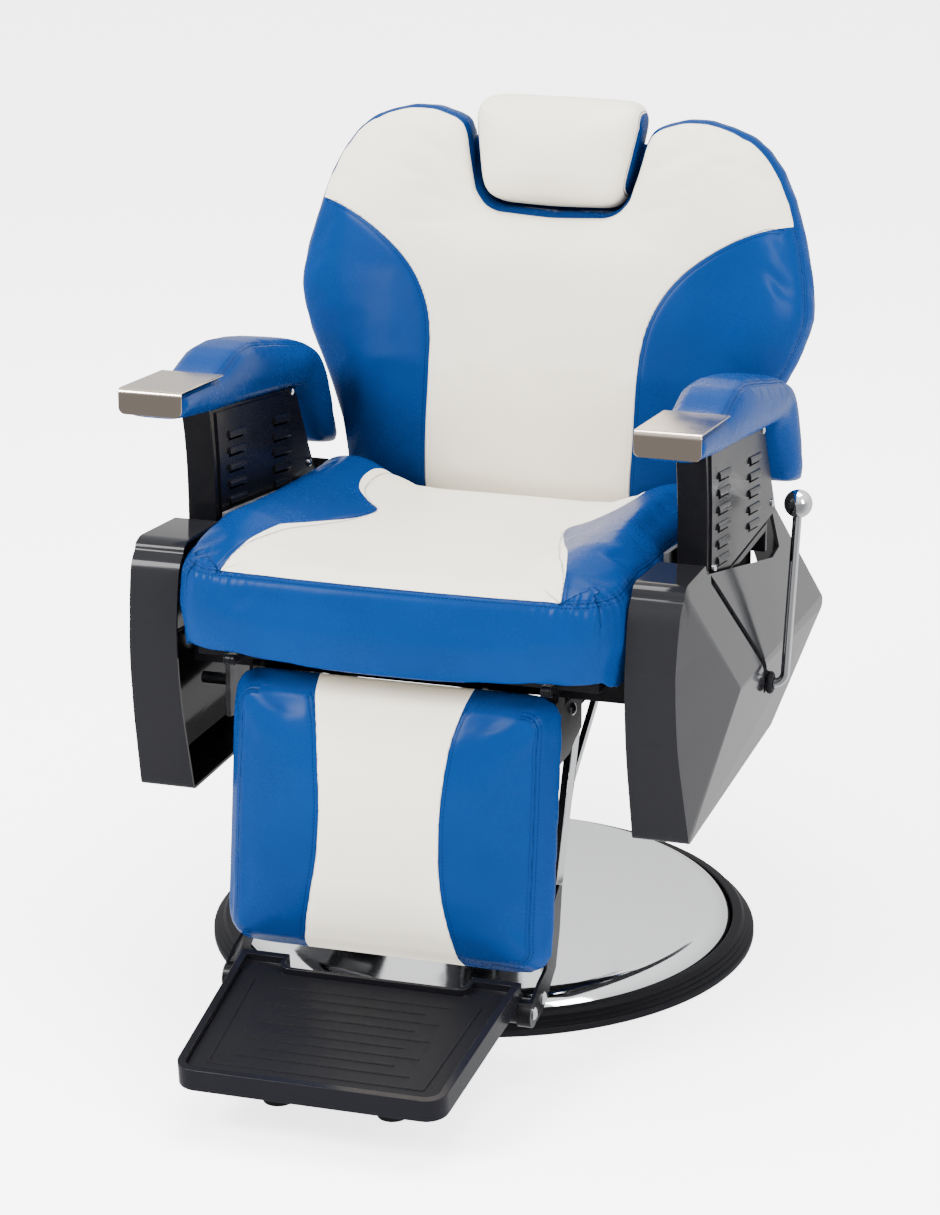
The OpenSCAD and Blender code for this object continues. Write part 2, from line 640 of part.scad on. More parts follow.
// One louvred plate. Its louvres are pressed out towards outside (1) or inside (-1)
module louvre_plate(side, x, out) {
    low_rear = support_rear_low - 2 * support_t;
    high_rear = support_rear_high - 2 * support_t;
    color([0.13, 0.13, 0.14]) scale([side, 1, 1]) {
        difference() {
            plate_yz(x, louvre_t) polygon([
                [-148, support_low_z + support_t], [low_rear, support_low_z + support_t],
                [high_rear, under_z(high_rear) - support_t], [-160, under_z(-160) - support_t],
                [-152, (support_low_z + arm_under_z) / 2 + 2 * support_t]]);
            for (column = [0, 1]) for (k = [0:louvre_rows[column] - 1]) louvre_at(x, column, k, out)
                translate([0, 0, -louvre_h / 2]) cube([3 * louvre_t, louvre_len * 0.94, louvre_h * 0.45], center = true);
            for (p = louvre_screws_at) translate([x - over, p[0], p[1]]) rotate([0, 90, 0])
                cylinder(r = screw_r + run_gap, h = louvre_t + 2 * over);
        }
        for (column = [0, 1]) for (k = [0:louvre_rows[column] - 1]) louvre_at(x, column, k, out)
            rotate([90, 0, 0]) linear_extrude(louvre_len, center = true) intersection() {
                translate([louvre_t / 2, 0]) scale([louvre_proud / louvre_h, 1]) circle(r = louvre_h, $fn = 24);
                translate([0, -louvre_h * 0.2]) square([louvre_proud + louvre_t, louvre_h * 1.2]);
            }
    }
}

module louvre_at(x, column, k, out) {
    y = louvre_columns_y[column];
    z = louvre_columns_z[column] - louvre_pitch * k - arm_under_slope * (y - louvre_columns_y[0]) * 0.6;
    translate([x + louvre_t / 2, y, z]) rotate([-louvre_tilt, 0, 0])
        scale([out, 1, 1]) children();
}

module louvre_outer_left() { louvre_plate(-1, arm_outer_x - louvre_t, 1); }
module louvre_inner_left() { louvre_plate(-1, arm_inner_x, -1); }
module louvre_outer_right() { louvre_plate(1, arm_outer_x - louvre_t, 1); }
module louvre_inner_right() { louvre_plate(1, arm_inner_x, -1); }

module louvre_screws() {
    color([0.8, 0.8, 0.82]) mirrored() for (p = louvre_screws_at) {
        translate([arm_outer_x, p[0], p[1]]) screw_x(screw_r, screw_head_r * 0.8, screw_head_h, louvre_t);
        translate([arm_inner_x, p[0], p[1]]) rotate([0, 0, 180])
            screw_x(screw_r, screw_head_r * 0.8, screw_head_h, louvre_t);
    }
}

// Armrest pads in the side view: u runs back along the chair, v is the height, w the half width
cap_t = 2;
cap_lip_h = 30;
arm_mid = arm_inner + arm_w / 2;
arm_tail = 246;
pad_top_points = [
    [-302, 728.4], [-240, 723], [-182, 717.9], [-168, 717.1], [-148, 720], [-122, 726], [-92, 730.5], [-55, 729], [0, 719], [60, 704],
    [120, 688], [160, 672], [190, 648], [214, 612], [232, 566], [242, 540], [246, 530]];
pad_low_points = [
    [-302, 698], [-150, 673], [0, 650], [110, 634], [132, 629], [146, 612], [166, 580], [182, 552],
    [196, 538], [220, 530], [246, 524]];
pad_top_table = smooth_table([for (p = pad_top_points) p]);
pad_low_table = smooth_table([for (p = pad_low_points) p]);
pad_rows = [0, 0.06, 0.18, 0.42, 0.68, 0.86, 0.95, 1];
pad_cols = [
    -297.8, -294, -286, -262, -225, -182, -166, -148, -126, -98, -60, -20, 20, 60, 96, 118, 130, 142,
    154, 168, 182, 196, 210, 222, 232, 240, 246];

module armrest_pad(side) {
    n = len(pad_cols) - 1;
    m = len(pad_rows) - 1;
    low = function (u) lookup(u, pad_low_table);
    high = function (u) lookup(u, pad_top_table);
    edge = concat([for (u = pad_cols) [u, low(u)]], [for (i = [n:-1:0]) [pad_cols[i], high(pad_cols[i])]]);
    half = arm_w / 2;
    width = function (d, u) half * (0.62 + 0.38 * quarter(d, 15)) - 3 * ease((u - 120) / 120);
    grid = [for (i = [0:n]) for (j = [0:m])
        let (u = pad_cols[i], v = low(u) + (high(u) - low(u)) * pad_rows[j])
        [u, v, width((i == 0 || i == n || j == 0 || j == m) ? 0 : outline_gap([u, v], edge), u)]];
    other = [for (p = grid) [p[0], p[1], -p[2]]];
    g = len(grid);
    at = function (i, j) i * (m + 1) + j;
    rim = concat(
        [for (i = [0:n]) at(i, 0)], [for (j = [1:m]) at(n, j)],
        [for (i = [n - 1:-1:0]) at(i, m)], [for (j = [m - 1:-1:1]) at(0, j)]);
    r = len(rim);
    near = [for (i = [0:n - 1]) for (j = [0:m - 1]) each
        [[at(i, j), at(i, j + 1), at(i + 1, j + 1)], [at(i, j), at(i + 1, j + 1), at(i + 1, j)]]];
    far = [for (t = near) [t[2] + g, t[1] + g, t[0] + g]];
    join = [for (k = [0:r - 1]) let (q = (k + 1) % r) each
        [[rim[k], rim[q], rim[q] + g], [rim[k], rim[q] + g, rim[k] + g]]];
    color([0.05, 0.4, 0.75]) scale([side, 1, 1]) translate([arm_mid, 0, 0]) rotate([90, 0, 90])
        polyhedron(concat(grid, other), concat(near, far, join), convexity = 6);
}

module armrest_pad_left() { armrest_pad(-1); }
module armrest_pad_right() { armrest_pad(1); }

module armrest_cap(side) {
    cap_half = arm_w / 2 - 3;
    rear_y = -arm_front + cap_len;
    top = function (y) arm_top_z - (y + arm_front) * 0.088;
    color([0.75, 0.76, 0.78]) scale([side, 1, 1]) translate([arm_mid, 0, 0]) {
        intersection() {
            plate_yz(-cap_half, 2 * cap_half) polygon(concat(
                arc([-arm_front + 3 * cap_t, arm_top_z - 3 * cap_t], 3 * cap_t, 180, 90, 5),
                [[rear_y, top(rear_y)], [rear_y, top(rear_y) - cap_t]],
                [[-arm_front + 2 * cap_t, top(-arm_front) - cap_t], [-arm_front + cap_t, arm_top_z - 2.5 * cap_t]],
                [[-arm_front + cap_t, arm_top_z - cap_lip_h], [-arm_front, arm_top_z - cap_lip_h]]));
            linear_extrude(2 * arm_top_z) polygon([
                [-cap_half, -arm_front - over], [cap_half, -arm_front - over],
                [cap_half, rear_y], [-cap_half, rear_y]]);
            rotate([90, 0, 0]) translate([0, 0, -arm_front]) linear_extrude(3 * arm_front) union() {
                translate([-cap_half, arm_top_z - cap_lip_h + 4 * cap_t]) square([2 * cap_half, arm_top_z]);
                translate([-cap_half + 4 * cap_t, arm_top_z - cap_lip_h]) square([2 * cap_half - 8 * cap_t, arm_top_z]);
                for (s = [-1, 1]) translate([s * (cap_half - 4 * cap_t), arm_top_z - cap_lip_h + 4 * cap_t])
                    circle(r = 4 * cap_t);
            }
        }
    }
}

module armrest_cap_left() { armrest_cap(-1); }
module armrest_cap_right() { armrest_cap(1); }

// Recline lever on the right: a bent chromed rod on a cross shaft, with a ball
lever_rod_r = 5.5;
lever_bush_r = 11;
lever_x = 359;
lever_lean = 14;
lever_len = 214;
lever_bend_r = 13;
ball_r = 17;
grommet_r = 13;
grommet_tube_r = 4;

module lever_place() {
    translate([0, lever_y, lever_z]) rotate([-lever_lean, 0, 0]) children();
}

module recline_lever() {
    shaft_len = lever_x - lever_bend_r - frame_inner;
    color([0.85, 0.86, 0.88]) lever_place() {
        translate([frame_inner, 0, 0]) rotate([0, 90, 0]) cylinder(r = lever_rod_r, h = shaft_len);
        translate([lever_x - lever_bend_r, 0, lever_bend_r]) rotate([90, 0, 0]) rotate([0, 0, -90])
            rotate_extrude(angle = 90) translate([lever_bend_r, 0]) circle(r = lever_rod_r, $fn = 32);
        translate([lever_x, 0, lever_bend_r]) cylinder(r = lever_rod_r, h = lever_len - lever_bend_r - ball_r * 0.8);
    }
}

module lever_ball() {
    color([0.85, 0.86, 0.88]) lever_place() difference() {
        translate([lever_x, 0, lever_len]) sphere(r = ball_r);
        translate([lever_x, 0, 0]) cylinder(r = lever_rod_r, h = lever_len - ball_r * 0.8);
    }
}

module lever_grommet() {
    face_x = cover_peak_x - 5;
    color([0.05, 0.05, 0.05]) translate([face_x, lever_y, lever_z]) rotate([0, 90, 0])
        rotate_extrude() translate([(grommet_r + lever_rod_r) / 2 + run_gap, 0])
            circle(r = grommet_tube_r, $fn = 24);
}

module lever_bush() {
    color([0.7, 0.55, 0.3]) translate([frame_inner, lever_y, lever_z]) rotate([0, 90, 0]) difference() {
        cylinder(r = lever_bush_r, h = frame_t + 3 * fit_gap);
        translate([0, 0, -over]) cylinder(r = lever_rod_r + fit_gap, h = frame_t + 2 * over + 3 * fit_gap);
    }
}

// Backrest, modelled in its own leaning frame: x across, y up along the back, z towards the sitter
back_y = 245;
back_z = 440;
back_board_t = 12;
// The recline shaft in the frame of the backrest
shaft_v = (recline_y - back_y) * sin(back_lean) + (recline_z - back_z) * cos(back_lean);
shaft_w = -(recline_y - back_y) * cos(back_lean) + (recline_z - back_z) * sin(back_lean);
bracket_x = 150;
bracket_t = 8;
bracket_wall = 4;
back_foot_v = 5;
crank_x = 118;
crank_t = 8;
crank_reach = [60, -84];
crank_len = norm(crank_reach);
crank_r = 13;
pin_r = 6;
link_t = 6;
lock_eye_t = 7;

module back_frame() {
    translate([0, back_y, back_z]) rotate([90 - back_lean, 0, 0]) children();
}

function crank_end(y, z) = [y, z] + crank_reach;

module crank_plate(x, y, z, hub, eye_r) {
    end = crank_end(y, z);
    difference() {
        hull() {
            translate([x, y, z]) rotate([0, 90, 0]) cylinder(r = hub, h = crank_t, $fn = 32);
            translate([x, end[0], end[1]]) rotate([0, 90, 0]) cylinder(r = crank_r, h = crank_t, $fn = 32);
        }
        if (eye_r > 0) translate([x - over, end[0], end[1]]) rotate([0, 90, 0])
            cylinder(r = eye_r, h = crank_t + 2 * over);
    }
}

module recline_shaft() {
    end = crank_end(recline_y, recline_z);
    color([0.2, 0.2, 0.21]) {
        translate([-frame_inner - frame_t, recline_y, recline_z]) rotate([0, 90, 0])
            cylinder(r = shaft_r, h = 2 * (frame_inner + frame_t));
        crank_plate(-crank_x, recline_y, recline_z, shaft_r + bracket_wall, pin_r + fit_gap);
        crank_plate(crank_x - crank_t, recline_y, recline_z, shaft_r + bracket_wall, 0);
        translate([crank_x - crank_t, end[0], end[1]]) rotate([0, 90, 0])
            cylinder(r = pin_r, h = crank_t + 2 * run_gap + lock_eye_t + over);
    }
}

module recline_bushes() {
    color([0.7, 0.55, 0.3]) mirrored() translate([frame_inner, recline_y, recline_z]) rotate([0, 90, 0]) difference() {
        cylinder(r = bush_out_r, h = frame_t);
        translate([0, 0, -over]) cylinder(r = shaft_r + fit_gap, h = frame_t + 2 * over);
    }
}

module back_bracket(side) {
    foot_v = shaft_v;
    reach_w = -back_board_t - 34;
    color([0.15, 0.15, 0.16]) scale([side, 1, 1]) back_frame() translate([bracket_x, 0, 0]) rotate([0, -90, 0])
        linear_extrude(bracket_t) difference() {
            union() {
                translate([shaft_w, foot_v]) circle(r = shaft_r + bracket_wall);
                translate([reach_w, foot_v - shaft_r]) square([shaft_w - reach_w, shaft_r + bracket_wall]);
                polygon([[reach_w, foot_v - shaft_r], [-back_board_t - run_gap, foot_v - shaft_r],
                    [-back_board_t, 250], [-back_board_t - 14, 250], [reach_w, 60]]);
            }
            translate([shaft_w, foot_v]) circle(r = shaft_r);
        }
}

module back_bracket_left() { back_bracket(-1); }
module back_bracket_right() { back_bracket(1); }

// Outline of the backrest as tables: u across, v up the back
back_foot_half_w = 236;
back_low_shares = [[0, 0], [0.6, 0], [0.7, 0.01], [0.735, 0.05], [0.775, 0.17], [0.84, 0.28], [0.92, 0.385], [0.97, 0.45], [1, 0.53]];
back_top_shares = [[0.40, 0.985], [0.47, 0.999], [0.57, 1], [0.69, 0.978], [0.78, 0.945], [0.87, 0.87], [0.935, 0.765], [0.985, 0.64], [1, 0.575]];
back_low_table = smooth_table([for (s = back_low_shares) [s[0] * back_half_w, s[1] * back_len]], 4);
back_top_table = smooth_table([for (s = back_top_shares) [s[0] * back_half_w, s[1] * back_len]], 4);
notch_foot = back_len - notch_depth;
notch_foot_half_w = notch_half_w - 15;
notch_table = [
    [0, notch_foot - 3], [notch_foot_half_w - 26, notch_foot], [notch_foot_half_w - 10, notch_foot + 6],
    [notch_foot_half_w - 1, notch_foot + 20], [notch_half_w - 5, notch_foot + 68],
    [notch_half_w, back_len - 28], [notch_half_w + 8, back_len - 14], [back_top_shares[0][0] * back_half_w, back_top_shares[0][1] * back_len]];
back_cols = [
    0, 34, 66, notch_foot_half_w - 10, notch_foot_half_w - 1, notch_half_w - 5, notch_half_w, notch_half_w + 8,
    back_half_w * 0.4, back_half_w * 0.48, back_half_w * 0.57, back_half_w * 0.66, back_half_w * 0.735,
    back_half_w * 0.79, back_half_w * 0.85, back_half_w * 0.905, back_half_w * 0.95, back_half_w * 0.985, back_half_w];
back_rows = [0, 0.02, 0.06, 0.14, 0.25, 0.37, 0.49, 0.6, 0.7, 0.8, 0.88, 0.94, 0.98, 1];
back_edge_r = 24;
lumbar_v = 0.36;

function back_low(u) = back_foot_v + lookup(abs(u), back_low_table);
function back_high(u) = abs(u) < notch_table[7][0] ? lookup(abs(u), notch_table) : lookup(abs(u), back_top_table);

module backrest_cushion() {
    lumbar = function (v) 12 * exp(-pow((v / back_len - lumbar_v) / 0.17, 2));
    wing = function (u, v) -16 * ease((abs(u) / back_half_w - 0.55) / 0.45);
    rise = function (u, v, d) back_t - back_edge_r * (1 - quarter(d, back_edge_r))
        + (8 + lumbar(v) * cos(70 * u / back_half_w)) * ease(d / 70) + wing(u, v);
    cols = concat([for (i = [len(back_cols) - 1:-1:1]) -back_cols[i]], back_cols);
    color([0.93, 0.91, 0.86]) back_frame()
        upholstery(cols, back_rows, function (u) back_low(u), function (u) back_high(u), rise, 3, 6);
}

module back_board() {
    inset = 18;
    top_v = notch_foot - inset;
    color([0.06, 0.3, 0.6]) back_frame() translate([0, 0, -back_board_t]) linear_extrude(back_board_t) polygon(concat(
        [for (k = [0:16]) let (u = -back_foot_half_w + inset + k * (back_foot_half_w - inset) / 8) [u, inset / 3]],
        [for (k = [1:9]) let (u = (0.7 + 0.3 * k / 9) * (back_half_w - inset)) [u, back_low(u * 1.03) + inset * k / 9 + inset / 3]],
        [for (k = [0:8]) let (u = (1 - 0.56 * k / 8) * (back_half_w - inset)) [u, back_high(u + inset * (1 - k / 8)) - inset]],
        [[notch_half_w + inset, top_v + 40], [notch_foot_half_w, top_v], [-notch_foot_half_w, top_v], [-notch_half_w - inset, top_v + 40]],
        [for (k = [8:-1:0]) let (u = (1 - 0.56 * k / 8) * (back_half_w - inset)) [-u, back_high(u + inset * (1 - k / 8)) - inset]],
        [for (k = [9:-1:1]) let (u = (0.7 + 0.3 * k / 9) * (back_half_w - inset)) [-u, back_low(u * 1.03) + inset * k / 9 + inset / 3]]));
}

// Headrest: a pillow in the notch on a flat post that slides in a guide behind the board
post_w = 32;
post_t = 5;
guide_v0 = 230;
guide_len = 110;
headrest_gap = 6;
headrest_v0 = notch_foot + headrest_gap;
headrest_w0 = -back_board_t + 8;
headrest_t = 82;

module headrest_cushion() {
    half = headrest_half_w;
    r = 26;
    low = function (u) let (x = abs(u) - (half - r)) x <= 0 ? 0 : r - sqrt(max(0, r * r - x * x));
    high = function (u) headrest_len - low(u) * 0.7;
    taper = function (v) 0.84 + 0.16 * min(1, v / headrest_len / 0.75);
    rise = function (u, v, d) headrest_t + 10 * ease(d / 50)
        - 34 * (1 - quarter(headrest_len - v + 2, 46)) - 18 * (1 - quarter(d, 18));
    shares = [0, 0.2, 0.4, 0.58, 0.72, 0.82, 0.9, 0.96, 1];
    rows = [0, 0.03, 0.1, 0.24, 0.42, 0.6, 0.74, 0.85, 0.93, 0.98, 1];
    color([0.94, 0.92, 0.87]) back_frame() translate([0, headrest_v0, headrest_w0])
        upholstery(both_ways(shares, half), rows, low, high, rise, 2, 6, taper);
}

post_tail = 10;
post_hole_first = 20;
post_hole_pitch = 15;

module headrest_post() {
    post_low = guide_v0 - post_tail;
    lift = headrest_w0 + back_board_t;
    color([0.82, 0.83, 0.85]) back_frame() difference() {
        union() {
            translate([-post_w / 2, post_low, -back_board_t - post_t - run_gap])
                cube([post_w, headrest_v0 + headrest_len * 0.7 - post_low, post_t]);
            translate([-post_w * 1.4, headrest_v0 + headrest_len * 0.25, -back_board_t - post_t - run_gap])
                cube([post_w * 2.8, headrest_len * 0.45, post_t + lift + run_gap]);
        }
        for (k = [0:5]) translate([0, post_low + post_hole_first + post_hole_pitch * k, -back_board_t - post_t - run_gap - over])
            cylinder(r = screw_r, h = post_t + 2 * over);
    }
}

module headrest_guide() {
    wall = 3;
    knob_r = 14;
    z0 = -back_board_t - post_t - 2 * run_gap;
    color([0.12, 0.12, 0.13]) back_frame() {
        difference() {
            translate([-post_w / 2 - 4 * wall, guide_v0, z0 - wall])
                cube([post_w + 8 * wall, guide_len, -back_board_t - z0 + wall]);
            translate([-post_w / 2 - run_gap, guide_v0 - over, z0])
                cube([post_w + 2 * run_gap, guide_len + 2 * over, -back_board_t - z0 + over]);
        }
        translate([0, guide_v0 + guide_len / 2, z0 - wall - 2 * knob_r]) cylinder(r = pin_r, h = 2 * knob_r);
        translate([0, guide_v0 + guide_len / 2, z0 - wall - 2 * knob_r]) cylinder(r1 = knob_r * 0.8, r2 = knob_r, h = knob_r);
    }
}

// Link from the crank on the recline shaft to the lug on the leg rest
link_eye_r = 10;

module recline_link() {
    a = crank_end(recline_y, recline_z);
    b = crank_end(leg_y, leg_z);
    x = -crank_x - run_gap - link_t;
    color([0.75, 0.76, 0.78]) {
        hull() for (p = [a, b]) translate([x, p[0], p[1]]) rotate([0, 90, 0])
            cylinder(r = link_eye_r * 0.75, h = link_t, $fn = 32);
        for (p = [a, b]) translate([x, p[0], p[1]]) rotate([0, 90, 0]) {
            cylinder(r = link_eye_r, h = link_t);
            cylinder(r = pin_r, h = link_t + run_gap + crank_t + link_t / 2);
            translate([0, 0, -link_t / 2]) cylinder(r = pin_r * 1.4, h = link_t / 2);
        }
    }
}

// Lock cylinder under the seat, and its rod, whose slotted end takes the pin of the other crank
lock_r = 14;
lock_rod_r = 5;
lock_front_y = -70;
lock_rear_y = 158;
lock_x = crank_x + run_gap + lock_r;
lock_z = recline_z - (crank_len - crank_reach[1]) / 2;
lock_rod_inside = 70;

module lock_cylinder() {
    hang_z = seat_base_z - board_t - rail_w - lock_front_y * tan(seat_tilt);
    color([0.1, 0.1, 0.11]) difference() {
        union() {
            translate([lock_x, lock_front_y, lock_z]) rotate([-90, 0, 0]) cylinder(r = lock_r, h = lock_rear_y - lock_front_y);
            translate([rail_x + rail_w / 2, lock_front_y, lock_z - lock_r])
                cube([frame_t, 3 * lock_r, hang_z - lock_z + lock_r + rail_w / 2]);
            translate([rail_x + rail_w / 2, lock_front_y, lock_z - lock_r]) cube([lock_x - rail_x - rail_w / 2, frame_t, 2 * lock_r]);
        }
        translate([lock_x, lock_front_y + 4 * frame_t, lock_z]) rotate([-90, 0, 0])
            cylinder(r = lock_rod_r + fit_gap, h = lock_rear_y - lock_front_y);
    }
}

module lock_rod() {
    end = crank_end(recline_y, recline_z);
    slot = (crank_len + crank_reach[1]) / 2 + run_gap;
    play = 2;
    color([0.8, 0.81, 0.83]) {
        translate([lock_x, lock_rear_y - lock_rod_inside, lock_z]) rotate([-90, 0, 0])
            cylinder(r = lock_rod_r, h = end[0] - lock_rear_y + lock_rod_inside - pin_r * 2.2);
        translate([crank_x + run_gap, end[0] - pin_r * 2.8, lock_z - lock_rod_r])
            cube([lock_x - crank_x - run_gap + lock_rod_r, pin_r * 0.9, 2 * lock_rod_r]);
        difference() {
            translate([crank_x + run_gap, end[0] - pin_r * 2.4, lock_z - slot - pin_r * 2])
                cube([lock_eye_t, pin_r * 4.4, 2 * slot + pin_r * 4]);
            translate([crank_x, end[0] - pin_r - play, lock_z - slot - pin_r])
                cube([2 * lock_eye_t, 2 * (pin_r + play), 2 * (slot + pin_r)]);
        }
    }
}

// Leg rest: a chromed arm and stay on each side, hung from ears under the front of the seat
arm_bar_t = 9;
arm_bar_w = 26;
arm_bar_x = leg_plate_x - arm_bar_t;
arm_bar_top = [-220, 348];
arm_bar_foot = [-322, 108];
stay_w = 12;
stay_t = 7;
stay_foot = [-240, 288];
stay_top = [-106, 372];
crossbar_r = 8;

// Calf pad and its board, modelled in their own leaning frame: x across, y up the pad, z forwards
calf_back_y = -360;
calf_z = 118;
calf_board_t = 10;
calf_board_inset = 14;

module leg_frame() {
    translate([0, calf_back_y, calf_z]) rotate([90 - leg_lean, 0, 0]) children();
}

function board_back_y(z) = calf_back_y + calf_board_t / cos(leg_lean) + (z - calf_z) * tan(leg_lean);

module bar_between(a, b, x, w, t) {
    plate_yz(x, t) hull() for (p = [a, b]) translate(p) circle(r = w / 2, $fn = 32);
}

module leg_arm(side) {
    color([0.83, 0.84, 0.86]) scale([side, 1, 1]) {
        bar_between(arm_bar_top, arm_bar_foot, arm_bar_x, arm_bar_w, arm_bar_t);
        bar_between(stay_foot, stay_top, leg_plate_x - stay_t - run_gap, stay_w, stay_t);
    }
}

module leg_arm_left() { leg_arm(-1); }
module leg_arm_right() { leg_arm(1); }

// Black plates that join each arm and stay to the hinge pin under the seat and to the calf board
leg_plate_outline = [
    [leg_y, leg_z + ear_r], [-318, 447], [-285, 442], [-285, 402], [-236, 402], [-100, 386],
    [-92, 374], [-104, 361], [-214, 384], [-214, 352], [-239, 347], [-263, 338],
    [board_back_y(338), 338], [board_back_y(419), 419], [board_back_y(419), 439], [leg_y, leg_z - ear_r]];

module leg_hinges() {
    color([0.08, 0.08, 0.09]) mirrored() {
        plate_yz(leg_plate_x, leg_plate_t) {
            polygon(leg_plate_outline);
            translate([leg_y, leg_z]) circle(r = ear_r);
        }
        translate([leg_plate_x, leg_y, leg_z]) rotate([0, 90, 0])
            cylinder(r = hinge_pin_r, h = leg_plate_t + 2 * run_gap + frame_t + over);
        translate([leg_plate_x + leg_plate_t + 2 * run_gap + frame_t, leg_y, leg_z]) rotate([0, 90, 0])
            cylinder(r = ear_r, h = hinge_pin_r / 2);
    }
}

module calf_board() {
    color([0.08, 0.08, 0.09]) leg_frame() translate([-leg_plate_x - leg_plate_t, calf_board_inset, -calf_board_t])
        cube([2 * (leg_plate_x + leg_plate_t), calf_len - 2 * calf_board_inset, calf_board_t]);
}

// Steel lug behind the calf board for the recline link
module calf_lug() {
    eye = crank_end(leg_y, leg_z);
    foot_t = 3;
    color([0.12, 0.12, 0.13]) {
        translate([-crank_x, eye[0], eye[1]]) rotate([0, 90, 0]) difference() {
            union() {
                cylinder(r = crank_r - over, h = crank_t);
                translate([-crank_r, board_back_y(eye[1]) - eye[0] + foot_t, 0])
                    cube([2 * crank_r, eye[0] - board_back_y(eye[1]) - foot_t, crank_t]);
            }
            translate([0, 0, -over]) cylinder(r = pin_r + fit_gap, h = crank_t + 2 * over);
        }
        leg_frame() translate([-crank_x, (eye[1] - calf_z) - 2.5 * crank_r, -calf_board_t - foot_t])
            cube([2 * crank_r + crank_t, 5 * crank_r, foot_t]);
    }
}

// Calf pad: a crowned front face, and gussets that fall back to the board on all four sides
calf_gusset = 14;
calf_gusset_bulge = 9;
calf_roll = 8;
calf_crown = 17;
calf_corner_r = 24;

module calf_pad() {
    half = calf_half_w - calf_gusset;
    low = function (u) calf_gusset + corner_drop(u, half, calf_corner_r);
    high = function (u) calf_len - calf_gusset - corner_drop(u, half, calf_corner_r);
    rise = function (u, v, d) calf_t - calf_roll * (1 - quarter(d, calf_roll))
        + calf_crown * ease(d / 80) * cos(55 * u / half);
    shares = [0, 0.16, 0.32, 0.48, 0.62, 0.74, 0.83, 0.9, 0.95, 0.985, 1];
    rows = [0, 0.02, 0.06, 0.13, 0.25, 0.4, 0.55, 0.7, 0.82, 0.91, 0.96, 0.985, 1];
    color([0.93, 0.91, 0.86]) leg_frame()
        upholstery(both_ways(shares, half), rows, low, high, rise, calf_gusset_bulge, -calf_gusset);
}

// Chromed cross bar between the feet of the two arms
module leg_crossbar() {
    color([0.83, 0.84, 0.86]) translate([-arm_bar_x, arm_bar_foot[0], arm_bar_foot[1]]) rotate([0, 90, 0])
        cylinder(r = crossbar_r, h = 2 * arm_bar_x);
}

// Brackets at the feet of the arms, with a boss for the hinge of the footplate
flip_y = -403;
flip_z = 80;
stop_y = -366;
stop_z = 83;
boss_x = 166;
boss_r = 16;
foot_bracket_outline = [
    [-291, 189], [-300, 138], [-315, 99], [-343, 82], [-368, 68], [-392, 66], [-403, 96], [-380, 106],
    [-353, 112], [board_back_y(134), 134], [board_back_y(171), 171], [-302, 194]];

module foot_brackets() {
    color([0.08, 0.08, 0.09]) mirrored() difference() {
        union() {
            plate_yz(leg_plate_x, leg_plate_t) polygon(foot_bracket_outline);
            translate([boss_x, flip_y, flip_z]) rotate([0, 90, 0])
                cylinder(r = boss_r, h = leg_plate_x + leg_plate_t - boss_x);
        }
        translate([boss_x - over, flip_y, flip_z]) rotate([0, 90, 0])
            cylinder(r = pin_r + fit_gap, h = leg_plate_x - boss_x + over);
    }
}

leg_bolt_head_h = 4;

module leg_bolts() {
    color([0.85, 0.85, 0.87]) mirrored() for (p = [[hip_y, hip_z], [stop_y, stop_z], [flip_y, flip_z]])
        translate([leg_plate_x + leg_plate_t, p[0], p[1]]) screw_x(screw_r, 2.4 * screw_r, leg_bolt_head_h, 0);
}

// Footplate: a shallow tray that turns on its pins in the bosses
plate_floor_t = 4;
plate_rim_t = 9;
plate_top = 30;
plate_behind = 12;
plate_front_y = plate_behind - plate_len;
plate_floor_z = plate_top - plate_rim_h * 0.35;
slot_half_w = 108;
slot_depth = 27;
slot_r = 15;

module plate_frame() {
    translate([0, flip_y, flip_z]) rotate([leg_lean, 0, 0]) children();
}

function plate_outline(inset) = let (
        f = plate_front_half_w - inset, b = plate_rear_half_w - inset,
        y0 = plate_front_y + inset, y1 = plate_behind - inset, r = max(24 - inset, 4))
    concat(arc([-f + r, y0 + r], r, 180, 270, 6), arc([f - r, y0 + r], r, 270, 360, 6), [[b, y1], [-b, y1]]);

module plate_cut(grow) {
    half = slot_half_w + grow;
    depth = slot_depth + grow;
    r = slot_r;
    translate([-half + r, plate_behind - depth]) square([2 * (half - r), depth + over]);
    translate([-half, plate_behind - depth + r]) square([2 * half, depth - r + over]);
    for (s = [-1, 1]) translate([s * (half - r), plate_behind - depth + r]) circle(r = r);
}

module foot_tray() {
    ear_in = 150;
    ear_r = boss_r - 3;
    color([0.06, 0.06, 0.07]) plate_frame() {
        difference() {
            translate([0, 0, plate_top - plate_rim_h]) linear_extrude(plate_rim_h) difference() {
                polygon(plate_outline(0));
                plate_cut(0);
            }
            translate([0, 0, plate_floor_z]) linear_extrude(plate_rim_h) difference() {
                polygon(plate_outline(plate_rim_t));
                plate_cut(plate_rim_t / 2);
            }
            translate([0, 0, plate_top - plate_rim_h - over])
                linear_extrude(plate_floor_z - plate_floor_t - plate_top + plate_rim_h + over) difference() {
                    polygon(plate_outline(plate_rim_t / 2));
                    plate_cut(plate_rim_t / 2);
                    for (s = [-1, 1]) translate([s * (ear_in + boss_x) / 2, 0])
                        square([boss_x - ear_in, 2 * boss_r], center = true);
                }
        }
        mirrored() translate([ear_in, 0, 0]) rotate([0, 90, 0]) {
            cylinder(r = ear_r, h = boss_x - run_gap - ear_in);
            translate([-plate_floor_z + plate_floor_t, -ear_r, 0])
                cube([plate_floor_z - plate_floor_t, 2 * ear_r, boss_x - run_gap - ear_in]);
            cylinder(r = pin_r, h = leg_plate_x - run_gap - ear_in);
        }
    }
}

